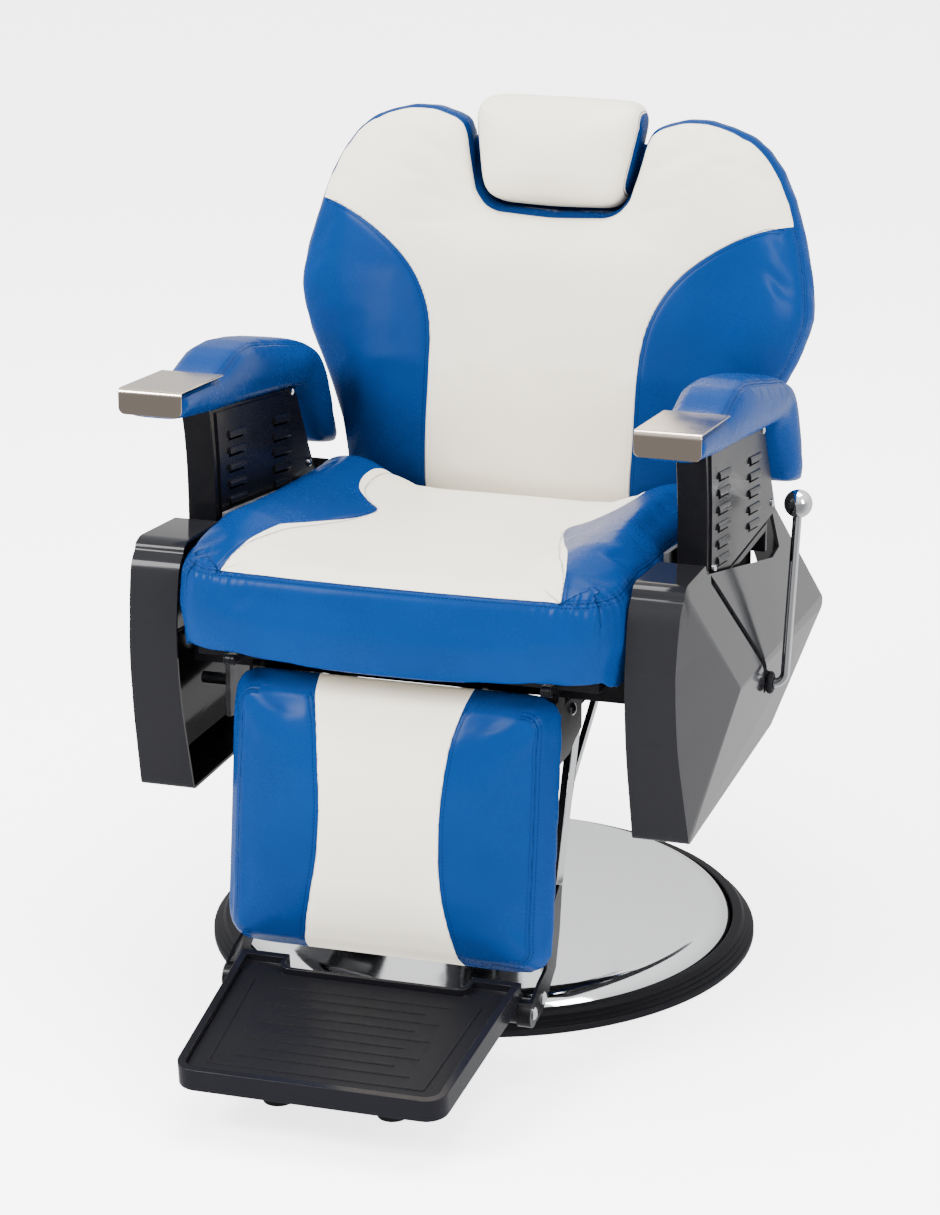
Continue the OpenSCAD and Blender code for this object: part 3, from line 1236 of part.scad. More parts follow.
// Moulded rubber tread: a thin sheet with a low frame and a stack of ribs
module foot_tread() {
    rib = 2;
    rib_w = 3;
    rib_first = 52;
    rib_pitch = 18;
    inset = plate_rim_t + 2 * run_gap;
    rear_y = plate_behind - slot_depth - plate_rim_t / 2 - 2 * run_gap;
    color([0.12, 0.12, 0.13]) plate_frame() {
        translate([0, 0, plate_floor_z]) linear_extrude(rib) intersection() {
            polygon(plate_outline(inset));
            translate([-plate_len, plate_front_y]) square([2 * plate_len, rear_y - plate_front_y]);
        }
        translate([0, 0, plate_floor_z + rib]) linear_extrude(rib / 2) {
            difference() {
                polygon(plate_outline(3 * inset));
                polygon(plate_outline(3 * inset + rib_w));
                translate([-plate_len, rear_y - 2 * inset]) square([2 * plate_len, plate_len]);
            }
            for (k = [0:8]) translate([0, plate_front_y + rib_first + rib_pitch * k])
                square([plate_front_half_w * (k % 2 == 0 ? 1.3 : 1), rib_w], center = true);
        }
    }
}

// Rubber buffers that meet the floor before the footplate does
buffer_r = 18;
buffer_stem_r = 11;
buffer_h = 15;
buffer_floor = 8;
buffer_x = 66;
buffer_y = -552;

module foot_buffers() {
    top_z = flip_z + (plate_floor_z - plate_floor_t) * cos(leg_lean) + (buffer_y - flip_y) * sin(leg_lean);
    color([0.05, 0.05, 0.05]) mirrored() {
        translate([buffer_x, buffer_y, buffer_floor]) cylinder(r1 = buffer_r - over, r2 = buffer_r, h = buffer_h);
        translate([buffer_x, buffer_y, buffer_floor]) cylinder(r = buffer_stem_r, h = top_z - buffer_floor - 2 * over);
    }
}

base_skirt();
floor_plate();
base_dish();
pump_cylinder();
pump_sleeve();
pump_bush();
pump_bolts();
pump_pedal();
pedal_rubber();
ram();
swivel_plate();
swivel_bolts();
seat_frame();
seat_board();
seat_cushion();
side_frame_left();
side_frame_right();
side_cover_left();
side_cover_right();
cover_posts();
arm_support_left();
arm_support_right();
arm_clamps();
louvre_outer_left();
louvre_inner_left();
louvre_outer_right();
louvre_inner_right();
louvre_screws();
armrest_pad_left();
armrest_pad_right();
armrest_cap_left();
armrest_cap_right();
recline_lever();
lever_ball();
lever_grommet();
lever_bush();
recline_shaft();
recline_bushes();
back_bracket_left();
back_bracket_right();
back_board();
backrest_cushion();
headrest_cushion();
headrest_post();
headrest_guide();
recline_link();
lock_cylinder();
lock_rod();
leg_hinges();
leg_arm_left();
leg_arm_right();
calf_board();
calf_lug();
calf_pad();
leg_crossbar();
foot_brackets();
leg_bolts();
foot_tray();
foot_tread();
foot_buffers();
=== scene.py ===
"""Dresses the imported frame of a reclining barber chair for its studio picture."""

import json
import logging
import math
from dataclasses import dataclass, field
from enum import Enum
from typing import Callable, Sequence

import bmesh
import bpy
import numpy as np
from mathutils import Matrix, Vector
from mathutils.bvhtree import BVHTree
from mathutils.kdtree import KDTree

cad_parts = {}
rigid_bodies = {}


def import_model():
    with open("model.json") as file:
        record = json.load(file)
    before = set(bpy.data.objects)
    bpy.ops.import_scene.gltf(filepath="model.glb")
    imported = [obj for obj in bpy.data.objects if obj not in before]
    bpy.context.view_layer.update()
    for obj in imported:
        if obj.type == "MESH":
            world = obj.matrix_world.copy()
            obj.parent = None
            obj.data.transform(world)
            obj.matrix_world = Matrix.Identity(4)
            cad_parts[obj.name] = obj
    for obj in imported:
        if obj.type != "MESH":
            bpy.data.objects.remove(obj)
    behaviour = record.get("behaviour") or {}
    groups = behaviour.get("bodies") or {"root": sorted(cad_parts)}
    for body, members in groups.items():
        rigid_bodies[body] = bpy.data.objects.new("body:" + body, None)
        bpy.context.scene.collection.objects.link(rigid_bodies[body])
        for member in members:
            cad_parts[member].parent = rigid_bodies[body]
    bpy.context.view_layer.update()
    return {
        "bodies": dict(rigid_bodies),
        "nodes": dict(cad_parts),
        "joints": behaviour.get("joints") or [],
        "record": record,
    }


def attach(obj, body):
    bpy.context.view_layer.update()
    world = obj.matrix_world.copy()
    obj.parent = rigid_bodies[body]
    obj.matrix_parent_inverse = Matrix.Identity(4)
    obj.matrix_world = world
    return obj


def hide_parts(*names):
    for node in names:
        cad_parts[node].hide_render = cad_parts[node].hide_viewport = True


log = logging.getLogger("barber_chair")
MM = 0.001
Point = tuple[float, float]
Color = tuple[float, float, float]
Socket = bpy.types.NodeSocket
Node = bpy.types.Node
Piece = bpy.types.Object

# Tolerances of the mesh tools, in metres and degrees.
MERGE = 0.00002
SPUN_MERGE = 0.00001
FLAT_ANGLE = 0.6
SPUN_ANGLE = 28.0
SPIN_STEPS = 160

# The look of a seam: metres, and the share of a stitch that is thread.
CREASE_W = 0.0011
THREAD_HALF_W = 0.00042
THREAD_SHARE = 0.66
PUFF_W = 0.0012
PUCKER_LENGTH = 0.0105
PUCKER_FADE = 75.0

# The shape of a seam, in metres.
SEAM_GROOVE = 0.0012
GROOVE_W = 0.006
SEAM_REACH = 0.05
SEAM_END = 0.004
RIPPLE_H = 0.0009
RIPPLE_LENGTH = 0.021
RIPPLE_START = 0.7
RIPPLE_FADE = 0.018
SLOPE_STEP = 0.0005

CLOTH_FRAMES = 20
MIRROR = np.array([-1, 1])


class Skin(Enum):
    """Colours of the upholstery vinyl."""

    BLUE = (0.0, 0.0225, 0.11)
    IVORY = (0.72, 0.67, 0.565)
    THREAD = (0.0, 0.008, 0.04)


class Side(Enum):
    """The two sides of the chair, by the sign of X."""

    LEFT = -1.0
    RIGHT = 1.0

    def part(self, stem: str) -> str:
        """Returns the name of a part on this side."""
        return f"{stem}_{self.name.lower()}"


# ---------------------------------------------------------------- shader node groups


@dataclass
class NodeDesk:
    """Places and joins nodes in one node tree."""

    tree: bpy.types.NodeTree

    def add(self, kind: str, **values: object) -> Node:
        """Adds a node.

        Args:
            kind: the node's class name.
            values: attributes to set on it.

        Returns:
            The new node.
        """
        node = self.tree.nodes.new(kind)
        for name, value in values.items():
            setattr(node, name, value)
        return node

    def join(self, source: Socket, target: Socket) -> None:
        """Links one socket to another."""
        self.tree.links.new(source, target)

    def feed(self, value: object, target: Socket) -> None:
        """Links a socket, or sets a plain value, on a target socket."""
        if isinstance(value, Socket):
            self.join(value, target)
        else:
            target.default_value = value

    def math(self, operation: str, a: object, b: object = 0.0, clamp: bool = False) -> Socket:
        """Adds a Math node and returns its result.

        Args:
            operation: the operation's name.
            a: the first value or socket.
            b: the second value or socket.
            clamp: whether the result stays between 0 and 1.

        Returns:
            The result's socket.
        """
        node = self.add("ShaderNodeMath", operation=operation, use_clamp=clamp)
        self.feed(a, node.inputs[0])
        self.feed(b, node.inputs[1])
        return node.outputs[0]

    def times(self, a: object, b: object) -> Socket:
        """Multiplies two values or sockets."""
        return self.math("MULTIPLY", a, b)

    def plus(self, a: object, b: object) -> Socket:
        """Adds two values or sockets."""
        return self.math("ADD", a, b)

    def total(self, *parts: tuple[object, object]) -> Socket:
        """Adds up pairs, each multiplied first."""
        products = [self.times(a, b) for a, b in parts]
        result = products[0]
        for product in products[1:]:
            result = self.plus(result, product)
        return result

    def bell(self, value: object, width: float) -> Socket:
        """Returns a bell curve, which is 1 where the value is nought."""
        square = self.math("POWER", self.math("DIVIDE", value, width), 2.0)
        return self.math("EXPONENT", self.times(square, -1.0))

    def noise(
        self, place: Socket, scale: object, detail: float = 3.0, rough: float = 0.55
    ) -> Socket:
        """Adds a Noise texture on a place and returns its factor."""
        node = self.add("ShaderNodeTexNoise")
        self.join(place, node.inputs["Vector"])
        self.feed(scale, node.inputs["Scale"])
        node.inputs["Detail"].default_value = detail
        node.inputs["Roughness"].default_value = rough
        return node.outputs["Fac"]

    def span(
        self, value: object, low: float, high: float, to_low: float = 0.0, to_high: float = 1.0
    ) -> Socket:
        """Maps a value from low..high to another range and returns the result."""
        node = self.add("ShaderNodeMapRange")
        self.feed(value, node.inputs["Value"])
        ends = {"From Min": low, "From Max": high, "To Min": to_low, "To Max": to_high}
        for name, number in ends.items():
            node.inputs[name].default_value = number
        return node.outputs["Result"]

    def mix(self, share: object, a: object, b: object) -> Socket:
        """Mixes two colours by a share and returns the result."""
        node = self.add("ShaderNodeMix", data_type="RGBA")
        self.feed(share, node.inputs["Factor"])
        for value, name in ((a, "A"), (b, "B")):
            socket = [s for s in node.inputs if s.name == name and s.type == "RGBA"][0]
            self.feed(value if isinstance(value, Socket) else (*value, 1.0), socket)
        return [s for s in node.outputs if s.type == "RGBA"][0]


@dataclass
class Effect:
    """A shader node group with named inputs and outputs."""

    name: str
    inputs: dict[str, float | None]
    outputs: tuple[str, ...]
    body: Callable[[NodeDesk, dict, dict], None]
    tree: bpy.types.NodeTree | None = None

    def built(self) -> bpy.types.NodeTree:
        """Builds the group once. An input without a number is a vector.

        Returns:
            The group's node tree.
        """
        if self.tree is None:
            tree = bpy.data.node_groups.new(self.name, "ShaderNodeTree")
            for name, value in self.inputs.items():
                kind = "NodeSocketVector" if value is None else "NodeSocketFloat"
                socket = tree.interface.new_socket(name, in_out="INPUT", socket_type=kind)
                if value is not None:
                    socket.default_value = value
            for name in self.outputs:
                tree.interface.new_socket(name, in_out="OUTPUT", socket_type="NodeSocketFloat")
            desk = NodeDesk(tree)
            given = desk.add("NodeGroupInput").outputs
            out = desk.add("NodeGroupOutput").inputs
            named = [{s.name: s for s in sockets if s.name} for sockets in (given, out)]
            self.body(desk, *named)
            self.tree = tree
        return self.tree

    def place(self, desk: NodeDesk, **values: object) -> Node:
        """Places the group in a material with its own values.

        Args:
            desk: the material's desk.
            values: sockets or numbers by input name, with _ for a space.

        Returns:
            The group node.
        """
        node = desk.add("ShaderNodeGroup", node_tree=self.built())
        for name, value in values.items():
            desk.feed(value, node.inputs[name.replace("_", " ")])
        return node


def _vinyl_skin(desk: NodeDesk, given: dict, out: dict) -> None:
    """Fine pebble grain with slow waves, as on upholstery vinyl."""
    place = given["Place"]
    cells = desk.add("ShaderNodeTexVoronoi", feature="SMOOTH_F1")
    desk.join(place, cells.inputs["Vector"])
    desk.join(given["Grain Scale"], cells.inputs["Scale"])
    pebble = desk.span(cells.outputs["Distance"], 0.0, 0.8)
    wave = desk.noise(place, given["Wave Scale"], 2.0, 0.5)
    fine = desk.noise(place, 260.0, 4.0, 0.6)
    handled = desk.noise(place, 9.0, 5.0, 0.6)
    height = desk.total((pebble, given["Grain Depth"]), (wave, given["Wave Depth"]))
    desk.join(height, out["Height"])
    rough = desk.total((fine, 0.06), (handled, given["Sheen Change"]))
    desk.join(desk.plus(rough, given["Roughness"]), out["Roughness"])


VINYL_SKIN = Effect(
    "Vinyl skin",
    {
        "Place": None,
        "Grain Scale": 900.0,
        "Grain Depth": 0.06,
        "Wave Scale": 14.0,
        "Wave Depth": 1.5,
        "Sheen Change": 0.08,
        "Roughness": 0.3,
    },
    ("Height", "Roughness"),
    _vinyl_skin,
)


def _sewn_seam(desk: NodeDesk, given: dict, out: dict) -> None:
    """A crease with painted shade in it and a row of stitches beside it, from distances stored on
    the piece.
    """
    gap, along = given["Seam"], given["Along"]
    crease = desk.bell(gap, CREASE_W)
    row = desk.math("ABSOLUTE", desk.math("SUBTRACT", gap, given["Row"]))
    near_row = desk.math("LESS_THAN", row, THREAD_HALF_W)
    turn = desk.math("FRACT", desk.math("DIVIDE", along, given["Pitch"]))
    dash = desk.math("LESS_THAN", turn, THREAD_SHARE)
    blue = desk.math("LESS_THAN", given["Tone"], 0.0)
    thread = desk.times(desk.times(near_row, dash), blue)
    desk.join(thread, out["Thread"])
    puff = desk.bell(row, PUFF_W)
    pucker_wave = desk.math("SINE", desk.times(along, 2 * math.pi / PUCKER_LENGTH))
    fade = desk.math("EXPONENT", desk.times(gap, -PUCKER_FADE))
    pucker = desk.times(desk.times(pucker_wave, fade), given["Pucker"])
    height = desk.total((crease, -0.9), (puff, -0.22), (thread, 0.3), (pucker, 1.3))
    desk.join(height, out["Height"])
    # Shade: painted shade, the crease darkened in colour as if shade falls in the groove.
    desk.join(desk.times(crease, 0.75), out["Shade"])


SEWN_SEAM = Effect(
    "Sewn seam",
    {"Seam": 1.0, "Along": 0.0, "Tone": -1.0, "Pucker": 0.0, "Row": 0.0048, "Pitch": 0.0046},
    ("Thread", "Height", "Shade"),
    _sewn_seam,
)


def _handled(desk: NodeDesk, given: dict, out: dict) -> None:
    """Smudges and light dust that change gloss and tint a little."""
    slow = desk.noise(given["Place"], given["Scale"], 4.0, 0.6)
    quick = desk.noise(given["Place"], 190.0, 5.0, 0.65)
    smear = desk.span(slow, 0.35, 0.75)
    rough = desk.times(desk.plus(smear, desk.times(quick, 0.5)), given["Change"])
    desk.join(desk.plus(given["Roughness"], rough), out["Roughness"])
    desk.join(desk.times(smear, given["Dust"]), out["Dust"])
    desk.join(desk.times(quick, given["Texture"]), out["Height"])


HANDLED = Effect(
    "Handled surface",
    {"Place": None, "Scale": 11.0, "Roughness": 0.3, "Change": 0.05, "Dust": 0.05, "Texture": 0.05},
    ("Roughness", "Dust", "Height"),
    _handled,
)


def _worn_edge(desk: NodeDesk, given: dict, out: dict) -> None:
    """A mask of the outer edges, from the pointiness of the mesh."""
    geometry = desk.add("ShaderNodeNewGeometry")
    sharp = desk.span(geometry.outputs["Pointiness"], 0.52, 0.6)
    patch = desk.span(desk.noise(given["Place"], 60.0, 4.0), 0.42, 0.7)
    wear = desk.math("MULTIPLY", desk.times(sharp, patch), given["Amount"], clamp=True)
    desk.join(wear, out["Wear"])


WORN_EDGE = Effect("Worn edge", {"Place": None, "Amount": 0.3}, ("Wear",), _worn_edge)


# ---------------------------------------------------------------- finishes


@dataclass(frozen=True)
class Surface:
    """What a hard finish and the vinyl share."""

    name: str

    def material(self) -> bpy.types.Material:
        """Builds the material once.

        Returns:
            The material.
        """
        made = bpy.data.materials.get(self.name)
        if made is None:
            made = bpy.data.materials.new(self.name)
            made.use_nodes = True
            desk = NodeDesk(made.node_tree)
            place = desk.add("ShaderNodeTexCoord").outputs["Object"]
            self.fill(desk, made.node_tree.nodes["Principled BSDF"], place)
        return made

    def fill(self, desk: NodeDesk, shader: Node, place: Socket) -> None:
        """Fills the material's node tree.

        Args:
            desk: the material's desk.
            shader: its Principled BSDF.
            place: each point's place on the object.
        """
        raise NotImplementedError

    def settle(
        self, desk: NodeDesk, shader: Node, height: Socket, bump: Point, plain: dict[str, object]
    ) -> None:
        """Joins a height to the shader's normal and sets the shader's plain values.

        Args:
            desk: the material's desk.
            shader: its Principled BSDF.
            height: the height of each point.
            bump: the distance in metres and the strength of the Bump node.
            plain: values by the names of the shader's sockets.
        """
        raiser = desk.add("ShaderNodeBump")
        raiser.inputs["Distance"].default_value, raiser.inputs["Strength"].default_value = bump
        desk.join(height, raiser.inputs["Height"])
        desk.join(raiser.outputs["Normal"], shader.inputs["Normal"])
        for name, value in plain.items():
            shader.inputs[name].default_value = value


@dataclass(frozen=True)
class Finish(Surface):
    """A hard finish: chrome, paint, rubber, plastic, bronze or zinc."""

    slot: str
    color: Color
    dust_color: Color
    metallic: float = 0.0
    roughness: float = 0.3
    change: float = 0.05
    dust: float = 0.06
    texture: float = 0.05
    depth: float = 0.00004
    wear: float = 0.0
    wear_color: Color = (0.35, 0.35, 0.36)
    gloss: float = 0.5
    ior: float = 1.45
    brushed: bool = False
    glow: float = 0.0

    def fill(self, desk: NodeDesk, shader: Node, place: Socket) -> None:
        """Fills the finish with its smudges, dust, worn edges and brushed lines."""
        handled = HANDLED.place(
            desk,
            Place=place,
            Roughness=self.roughness,
            Change=self.change,
            Dust=self.dust,
            Texture=self.texture,
        )
        color = desk.mix(handled.outputs["Dust"], self.color, self.dust_color)
        if self.wear:
            worn = WORN_EDGE.place(desk, Place=place, Amount=self.wear)
            color = desk.mix(worn.outputs["Wear"], color, self.wear_color)
        desk.join(color, shader.inputs["Base Color"])
        desk.join(handled.outputs["Roughness"], shader.inputs["Roughness"])
        height = handled.outputs["Height"]
        if self.brushed:
            stretch = desk.add("ShaderNodeMapping")
            stretch.inputs["Scale"].default_value = (1.5, 90.0, 90.0)
            desk.join(place, stretch.inputs["Vector"])
            lines = desk.noise(stretch.outputs[0], 14.0, 3.0, 0.5)
            height = desk.plus(height, desk.times(lines, 0.5))
        plain = {"Metallic": self.metallic, "Specular IOR Level": self.gloss, "IOR": self.ior}
        if self.glow:
            plain |= {"Emission Color": (1.0, 1.0, 1.0, 1.0), "Emission Strength": self.glow}
        self.settle(desk, shader, height, (self.depth, 1.0), plain)


@dataclass(frozen=True)
class Vinyl(Surface):
    """Upholstery vinyl in two colours, with its seams, stitches and gathers, and painted shade in
    the seam creases.
    """

    wave_scale: float = 13.0
    wave_depth: float = 1.1
    blue_roughness: float = 0.2
    ivory_roughness: float = 0.34
    gloss: float = 0.5
    ior: float = 1.13

    def fill(self, desk: NodeDesk, shader: Node, place: Socket) -> None:
        """Fills the vinyl from the distances that are stored on a sewn piece."""
        stored = {
            name: desk.add("ShaderNodeAttribute", attribute_name=name.lower()).outputs["Fac"]
            for name in ("Seam", "Along", "Tone", "Pucker")
        }
        ivory = desk.span(stored["Tone"], -0.0001, 0.0001)
        rough = desk.span(ivory, 0.0, 1.0, self.blue_roughness, self.ivory_roughness)
        skin = VINYL_SKIN.place(
            desk,
            Place=place,
            Wave_Scale=self.wave_scale,
            Wave_Depth=self.wave_depth,
            Roughness=rough,
        )
        seam = SEWN_SEAM.place(desk, **stored)
        blotch = desk.span(desk.noise(place, 7.0, 4.0), 0.3, 0.7)
        deep = tuple(c * 0.82 for c in Skin.BLUE.value)
        shade = tuple(c * 0.93 for c in Skin.IVORY.value)
        blue = desk.mix(blotch, Skin.BLUE.value, deep)
        pale = desk.mix(blotch, Skin.IVORY.value, shade)
        color = desk.mix(ivory, blue, pale)
        # Painted shade: the seam's crease is darkened towards a deep blue, as if shade falls in it.
        crease = tuple(c * 0.35 for c in Skin.BLUE.value)
        color = desk.mix(seam.outputs["Shade"], color, crease)
        color = desk.mix(seam.outputs["Thread"], color, Skin.THREAD.value)
        desk.join(color, shader.inputs["Base Color"])
        desk.join(skin.outputs["Roughness"], shader.inputs["Roughness"])
        height = desk.plus(skin.outputs["Height"], seam.outputs["Height"])
        plain = {"Specular IOR Level": self.gloss, "IOR": self.ior}
        self.settle(desk, shader, height, (0.001, 0.8), plain)


CHROME = Finish(
    "Polished chrome", "chrome", (0.72, 0.73, 0.75), (0.5, 0.5, 0.5),
    metallic=1.0, roughness=0.04, dust=0.03, texture=0.03, depth=0.00001,
)
STEEL_CAP = Finish(
    "Polished cap steel", "polished_steel", (0.52, 0.44, 0.375), (0.3, 0.28, 0.26),
    metallic=1.0, roughness=0.1, change=0.08, dust=0.03, texture=0.03, depth=0.00001, brushed=True,
)
ZINC = Finish(
    "Zinc plate", "zinc_steel", (0.5, 0.51, 0.53), (0.35, 0.35, 0.34),
    metallic=1.0, roughness=0.3, change=0.12, dust=0.1, texture=0.2, depth=0.00003,
)
BRONZE = Finish(
    "Turned bronze", "bronze", (0.5, 0.36, 0.19), (0.25, 0.2, 0.15),
    metallic=1.0, roughness=0.3, change=0.1, dust=0.1, texture=0.1, depth=0.00003,
)
COATED = Finish(
    "Black powder coat", "black_steel", (0.004, 0.004, 0.005), (0.012, 0.012, 0.012),
    roughness=0.18, change=0.06, dust=0.03, texture=0.2,
    wear=0.05, wear_color=(0.08, 0.08, 0.08), ior=1.22,
)
PRIMED = Finish(
    "Primed plate", "grey_steel", (0.05, 0.05, 0.053), (0.09, 0.09, 0.09),
    roughness=0.45, change=0.1, dust=0.1, texture=0.3, depth=0.00006, wear=0.2, gloss=0.25,
)
CASTING = Finish(
    "Painted casting", "cast_steel", (0.014, 0.014, 0.015), (0.04, 0.04, 0.04),
    roughness=0.5, change=0.1, dust=0.15, texture=0.8, depth=0.0002, wear=0.2, gloss=0.25,
)
GLOSS = Finish(
    "Black gloss moulding", "black_gloss", (0.0095, 0.0095, 0.011), (0.02, 0.02, 0.02),
    roughness=0.08, change=0.03, dust=0.02, texture=0.03, depth=0.00001, gloss=0.4, ior=1.27,
)
TRAY = Finish(
    "Black tray enamel", "black_gloss", (0.006, 0.006, 0.0078), (0.015, 0.015, 0.015),
    roughness=0.16, change=0.06, dust=0.03, texture=0.1, depth=0.00003, gloss=0.4, ior=1.25,
)
RUBBER = Finish(
    "Moulded rubber", "black_rubber", (0.0055, 0.0055, 0.0068), (0.018, 0.018, 0.018),
    roughness=0.4, change=0.1, dust=0.08, texture=0.5, depth=0.00008, ior=1.13,
)
FLOOR = Finish(
    "Studio floor", "", (0.92, 0.92, 0.92), (0.9, 0.9, 0.9),
    roughness=0.6, change=0.02, dust=0.02, texture=0.02, depth=0.00001, gloss=0.1, glow=3.0,
)
VINYL = Vinyl("Sewn vinyl")


# ---------------------------------------------------------------- mesh tools


def dressed(
    node: str, body: str, finish: Finish, bevel: float = 0.0, angle: float = 32.0
) -> Piece:
    """Copies a CAD node, merges it and rounds its edges.

    Args:
        node: the CAD node that the copy stands for.
        body: the body that it rides on.
        finish: its finish.
        bevel: the width of its rounded edges in millimetres, 0 for none.
        angle: the angle in degrees above which an edge is sharp.

    Returns:
        The new piece.
    """
    bm = bmesh.new()
    bm.from_mesh(bpy.data.objects[node].data)
    bmesh.ops.remove_doubles(bm, verts=bm.verts, dist=MERGE)
    flat = math.radians(FLAT_ANGLE)
    bmesh.ops.dissolve_limit(bm, angle_limit=flat, verts=bm.verts, edges=bm.edges)
    piece = from_bmesh(f"{node}_finished", bm)
    smooth(piece, angle)
    if bevel:
        rounder = rounded(piece, bevel, 2, "ANGLE")
        rounder.angle_limit = math.radians(angle)
    paint(piece, finish)
    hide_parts(node)
    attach(piece, body)
    return piece


def dress_all(body: str, rows: Sequence[tuple[Finish, float, str]]) -> None:
    """Dresses the CAD nodes that ride on one body.

    Args:
        body: the body.
        rows: a finish, a bevel in millimetres, and the nodes that have both.
    """
    for finish, bevel, nodes in rows:
        for node in nodes.split():
            dressed(node, body, finish, bevel)


def rounded(piece: Piece, width: float, segments: int, limit: str) -> bpy.types.Modifier:
    """Rounds a piece's edges with a modifier.

    Args:
        piece: the piece.
        width: the width of the rounded edges in millimetres.
        segments: how many faces a round has.
        limit: what chooses the edges.

    Returns:
        The modifier.
    """
    rounder = piece.modifiers.new("rounded edges", "BEVEL")
    rounder.width = width * MM
    rounder.segments = segments
    rounder.limit_method = limit
    rounder.harden_normals = False
    rounder.use_clamp_overlap = True
    return rounder


def smooth(piece: Piece, angle: float) -> None:
    """Shades a piece smooth, apart from edges sharper than the angle in degrees."""
    for polygon in piece.data.polygons:
        polygon.use_smooth = True
    piece.data.set_sharp_from_angle(angle=math.radians(angle))


def paint(piece: Piece, finish: Finish | Vinyl) -> None:
    """Gives a piece its finish."""
    piece.data.materials.clear()
    piece.data.materials.append(finish.material())
    isinstance(finish, Finish) and finish.slot


def from_bmesh(name: str, bm: bmesh.types.BMesh) -> Piece:
    """Makes an object at the origin from a bmesh, and frees the bmesh."""
    mesh = bpy.data.meshes.new(name)
    bm.to_mesh(mesh)
    bm.free()
    piece = bpy.data.objects.new(name, mesh)
    bpy.context.scene.collection.objects.link(piece)
    return piece


def turned(name: str, profile: Sequence[Point]) -> Piece:
    """Spins a closed profile round the Z axis.

    Args:
        name: the piece's name.
        profile: closed outline as (radius, height) in millimetres.

    Returns:
        The new piece.
    """
    bm = bmesh.new()
    verts = [bm.verts.new((r * MM, 0.0, z * MM)) for r, z in profile]
    edges = [bm.edges.new((a, b)) for a, b in zip(verts, verts[1:] + verts[:1])]
    bmesh.ops.spin(
        bm,
        geom=verts + edges,
        cent=(0, 0, 0),
        axis=(0.0, 0.0, 1.0),
        angle=math.tau,
        steps=SPIN_STEPS,
        use_merge=True,
        use_duplicate=False,
    )
    bmesh.ops.remove_doubles(bm, verts=bm.verts, dist=SPUN_MERGE)
    bmesh.ops.recalc_face_normals(bm, faces=bm.faces)
    piece = from_bmesh(name, bm)
    smooth(piece, SPUN_ANGLE)
    return piece


def applied(piece: Piece) -> None:
    """Replaces a piece's mesh by its mesh with all modifiers applied."""
    graph = bpy.context.evaluated_depsgraph_get()
    mesh = bpy.data.meshes.new_from_object(piece.evaluated_get(graph))
    piece.modifiers.clear()
    piece.data = mesh


def coordinates(mesh: bpy.types.Mesh) -> np.ndarray:
    """Reads a mesh's points as an array of rows."""
    flat = np.empty(len(mesh.vertices) * 3, np.float64)
    mesh.vertices.foreach_get("co", flat)
    return flat.reshape(-1, 3)


def store(mesh: bpy.types.Mesh, name: str, values: np.ndarray) -> None:
    """Stores one number for each point of a mesh."""
    layer = mesh.attributes.get(name) or mesh.attributes.new(name, "FLOAT", "POINT")
    layer.data.foreach_set("value", values.astype(np.float32))


def ease(t: np.ndarray) -> np.ndarray:
    """Steps from 0 to 1 with level ends."""
    s = np.clip(t, 0.0, 1.0)
    return s * s * (3.0 - 2.0 * s)


def rounded_path(points: Sequence[Point], step: float = 0.001) -> np.ndarray:
    """Runs a smooth curve through points.

    Args:
        points: control points in millimetres.
        step: the spacing of the result in metres.

    Returns:
        Evenly spaced points in metres.
    """
    p = np.array(points, float) * MM
    last = len(p) - 1
    t = np.linspace(0, 1, 24, endpoint=False)[:, None]
    pieces = []
    for i in range(last):
        a, b, c, d = (p[min(max(k, 0), last)] for k in (i - 1, i, i + 1, i + 2))
        square = (2 * a - 5 * b + 4 * c - d) * t**2
        cube = (3 * b - a - 3 * c + d) * t**3
        pieces.append(0.5 * (2 * b + (c - a) * t + square + cube))
    curve = np.vstack(pieces + [p[-1:]])
    run = np.concatenate([[0.0], np.cumsum(np.linalg.norm(np.diff(curve, axis=0), axis=1))])
    marks = np.arange(0.0, run[-1], step)
    return np.stack([np.interp(marks, run, curve[:, k]) for k in (0, 1)], axis=1)


def signed_gap(points: np.ndarray, outline: np.ndarray) -> np.ndarray:
    """Measures points against a closed outline.

    Args:
        points: rows of two numbers.
        outline: the closed outline's corners, rows of two numbers.

    Returns:
        Distances, positive inside the outline.
    """
    best = np.full(len(points), 1e9)
    inside = np.zeros(len(points), bool)
    for a, b in zip(outline, np.roll(outline, -1, axis=0)):
        d = b - a
        t = np.clip(((points - a) @ d) / max(d @ d, 1e-12), 0, 1)
        best = np.minimum(best, np.linalg.norm(points - a - t[:, None] * d, axis=1))
        crosses = (a[1] > points[:, 1]) != (b[1] > points[:, 1])
        with np.errstate(divide="ignore", invalid="ignore"):
            at = a[0] + (points[:, 1] - a[1]) / (b[1] - a[1]) * d[0]
        inside ^= crosses & (points[:, 0] < at)
    return np.where(inside, best, -best)


# ---------------------------------------------------------------- soft goods


@dataclass(frozen=True)
class PanelFrame:
    """A cushion's own axes: u across, v along it and w out of its face."""

    origin: tuple[float, float, float]
    lean: float

    def axes(self) -> np.ndarray:
        """Returns the three axes as rows."""
        a = math.radians(self.lean)
        return np.array([[1, 0, 0], [0, math.cos(a), math.sin(a)], [0, -math.sin(a), math.cos(a)]])

    def local(self, points: np.ndarray) -> np.ndarray:
        """Turns row-frame points into u, v and w."""
        return (points - np.array(self.origin)) @ self.axes().T

    def world(self, points: np.ndarray) -> np.ndarray:
        """Turns u, v and w into row-frame points."""
        return points @ self.axes() + np.array(self.origin)


@dataclass
class Rim:
    """A seam that runs round a cushion where a measure of place is nought."""

    measure: Callable[[np.ndarray], np.ndarray]
    reach: Callable[[np.ndarray, np.ndarray], np.ndarray]
    groove: float = 0.0008
    gathers: tuple[Point, ...] = ()


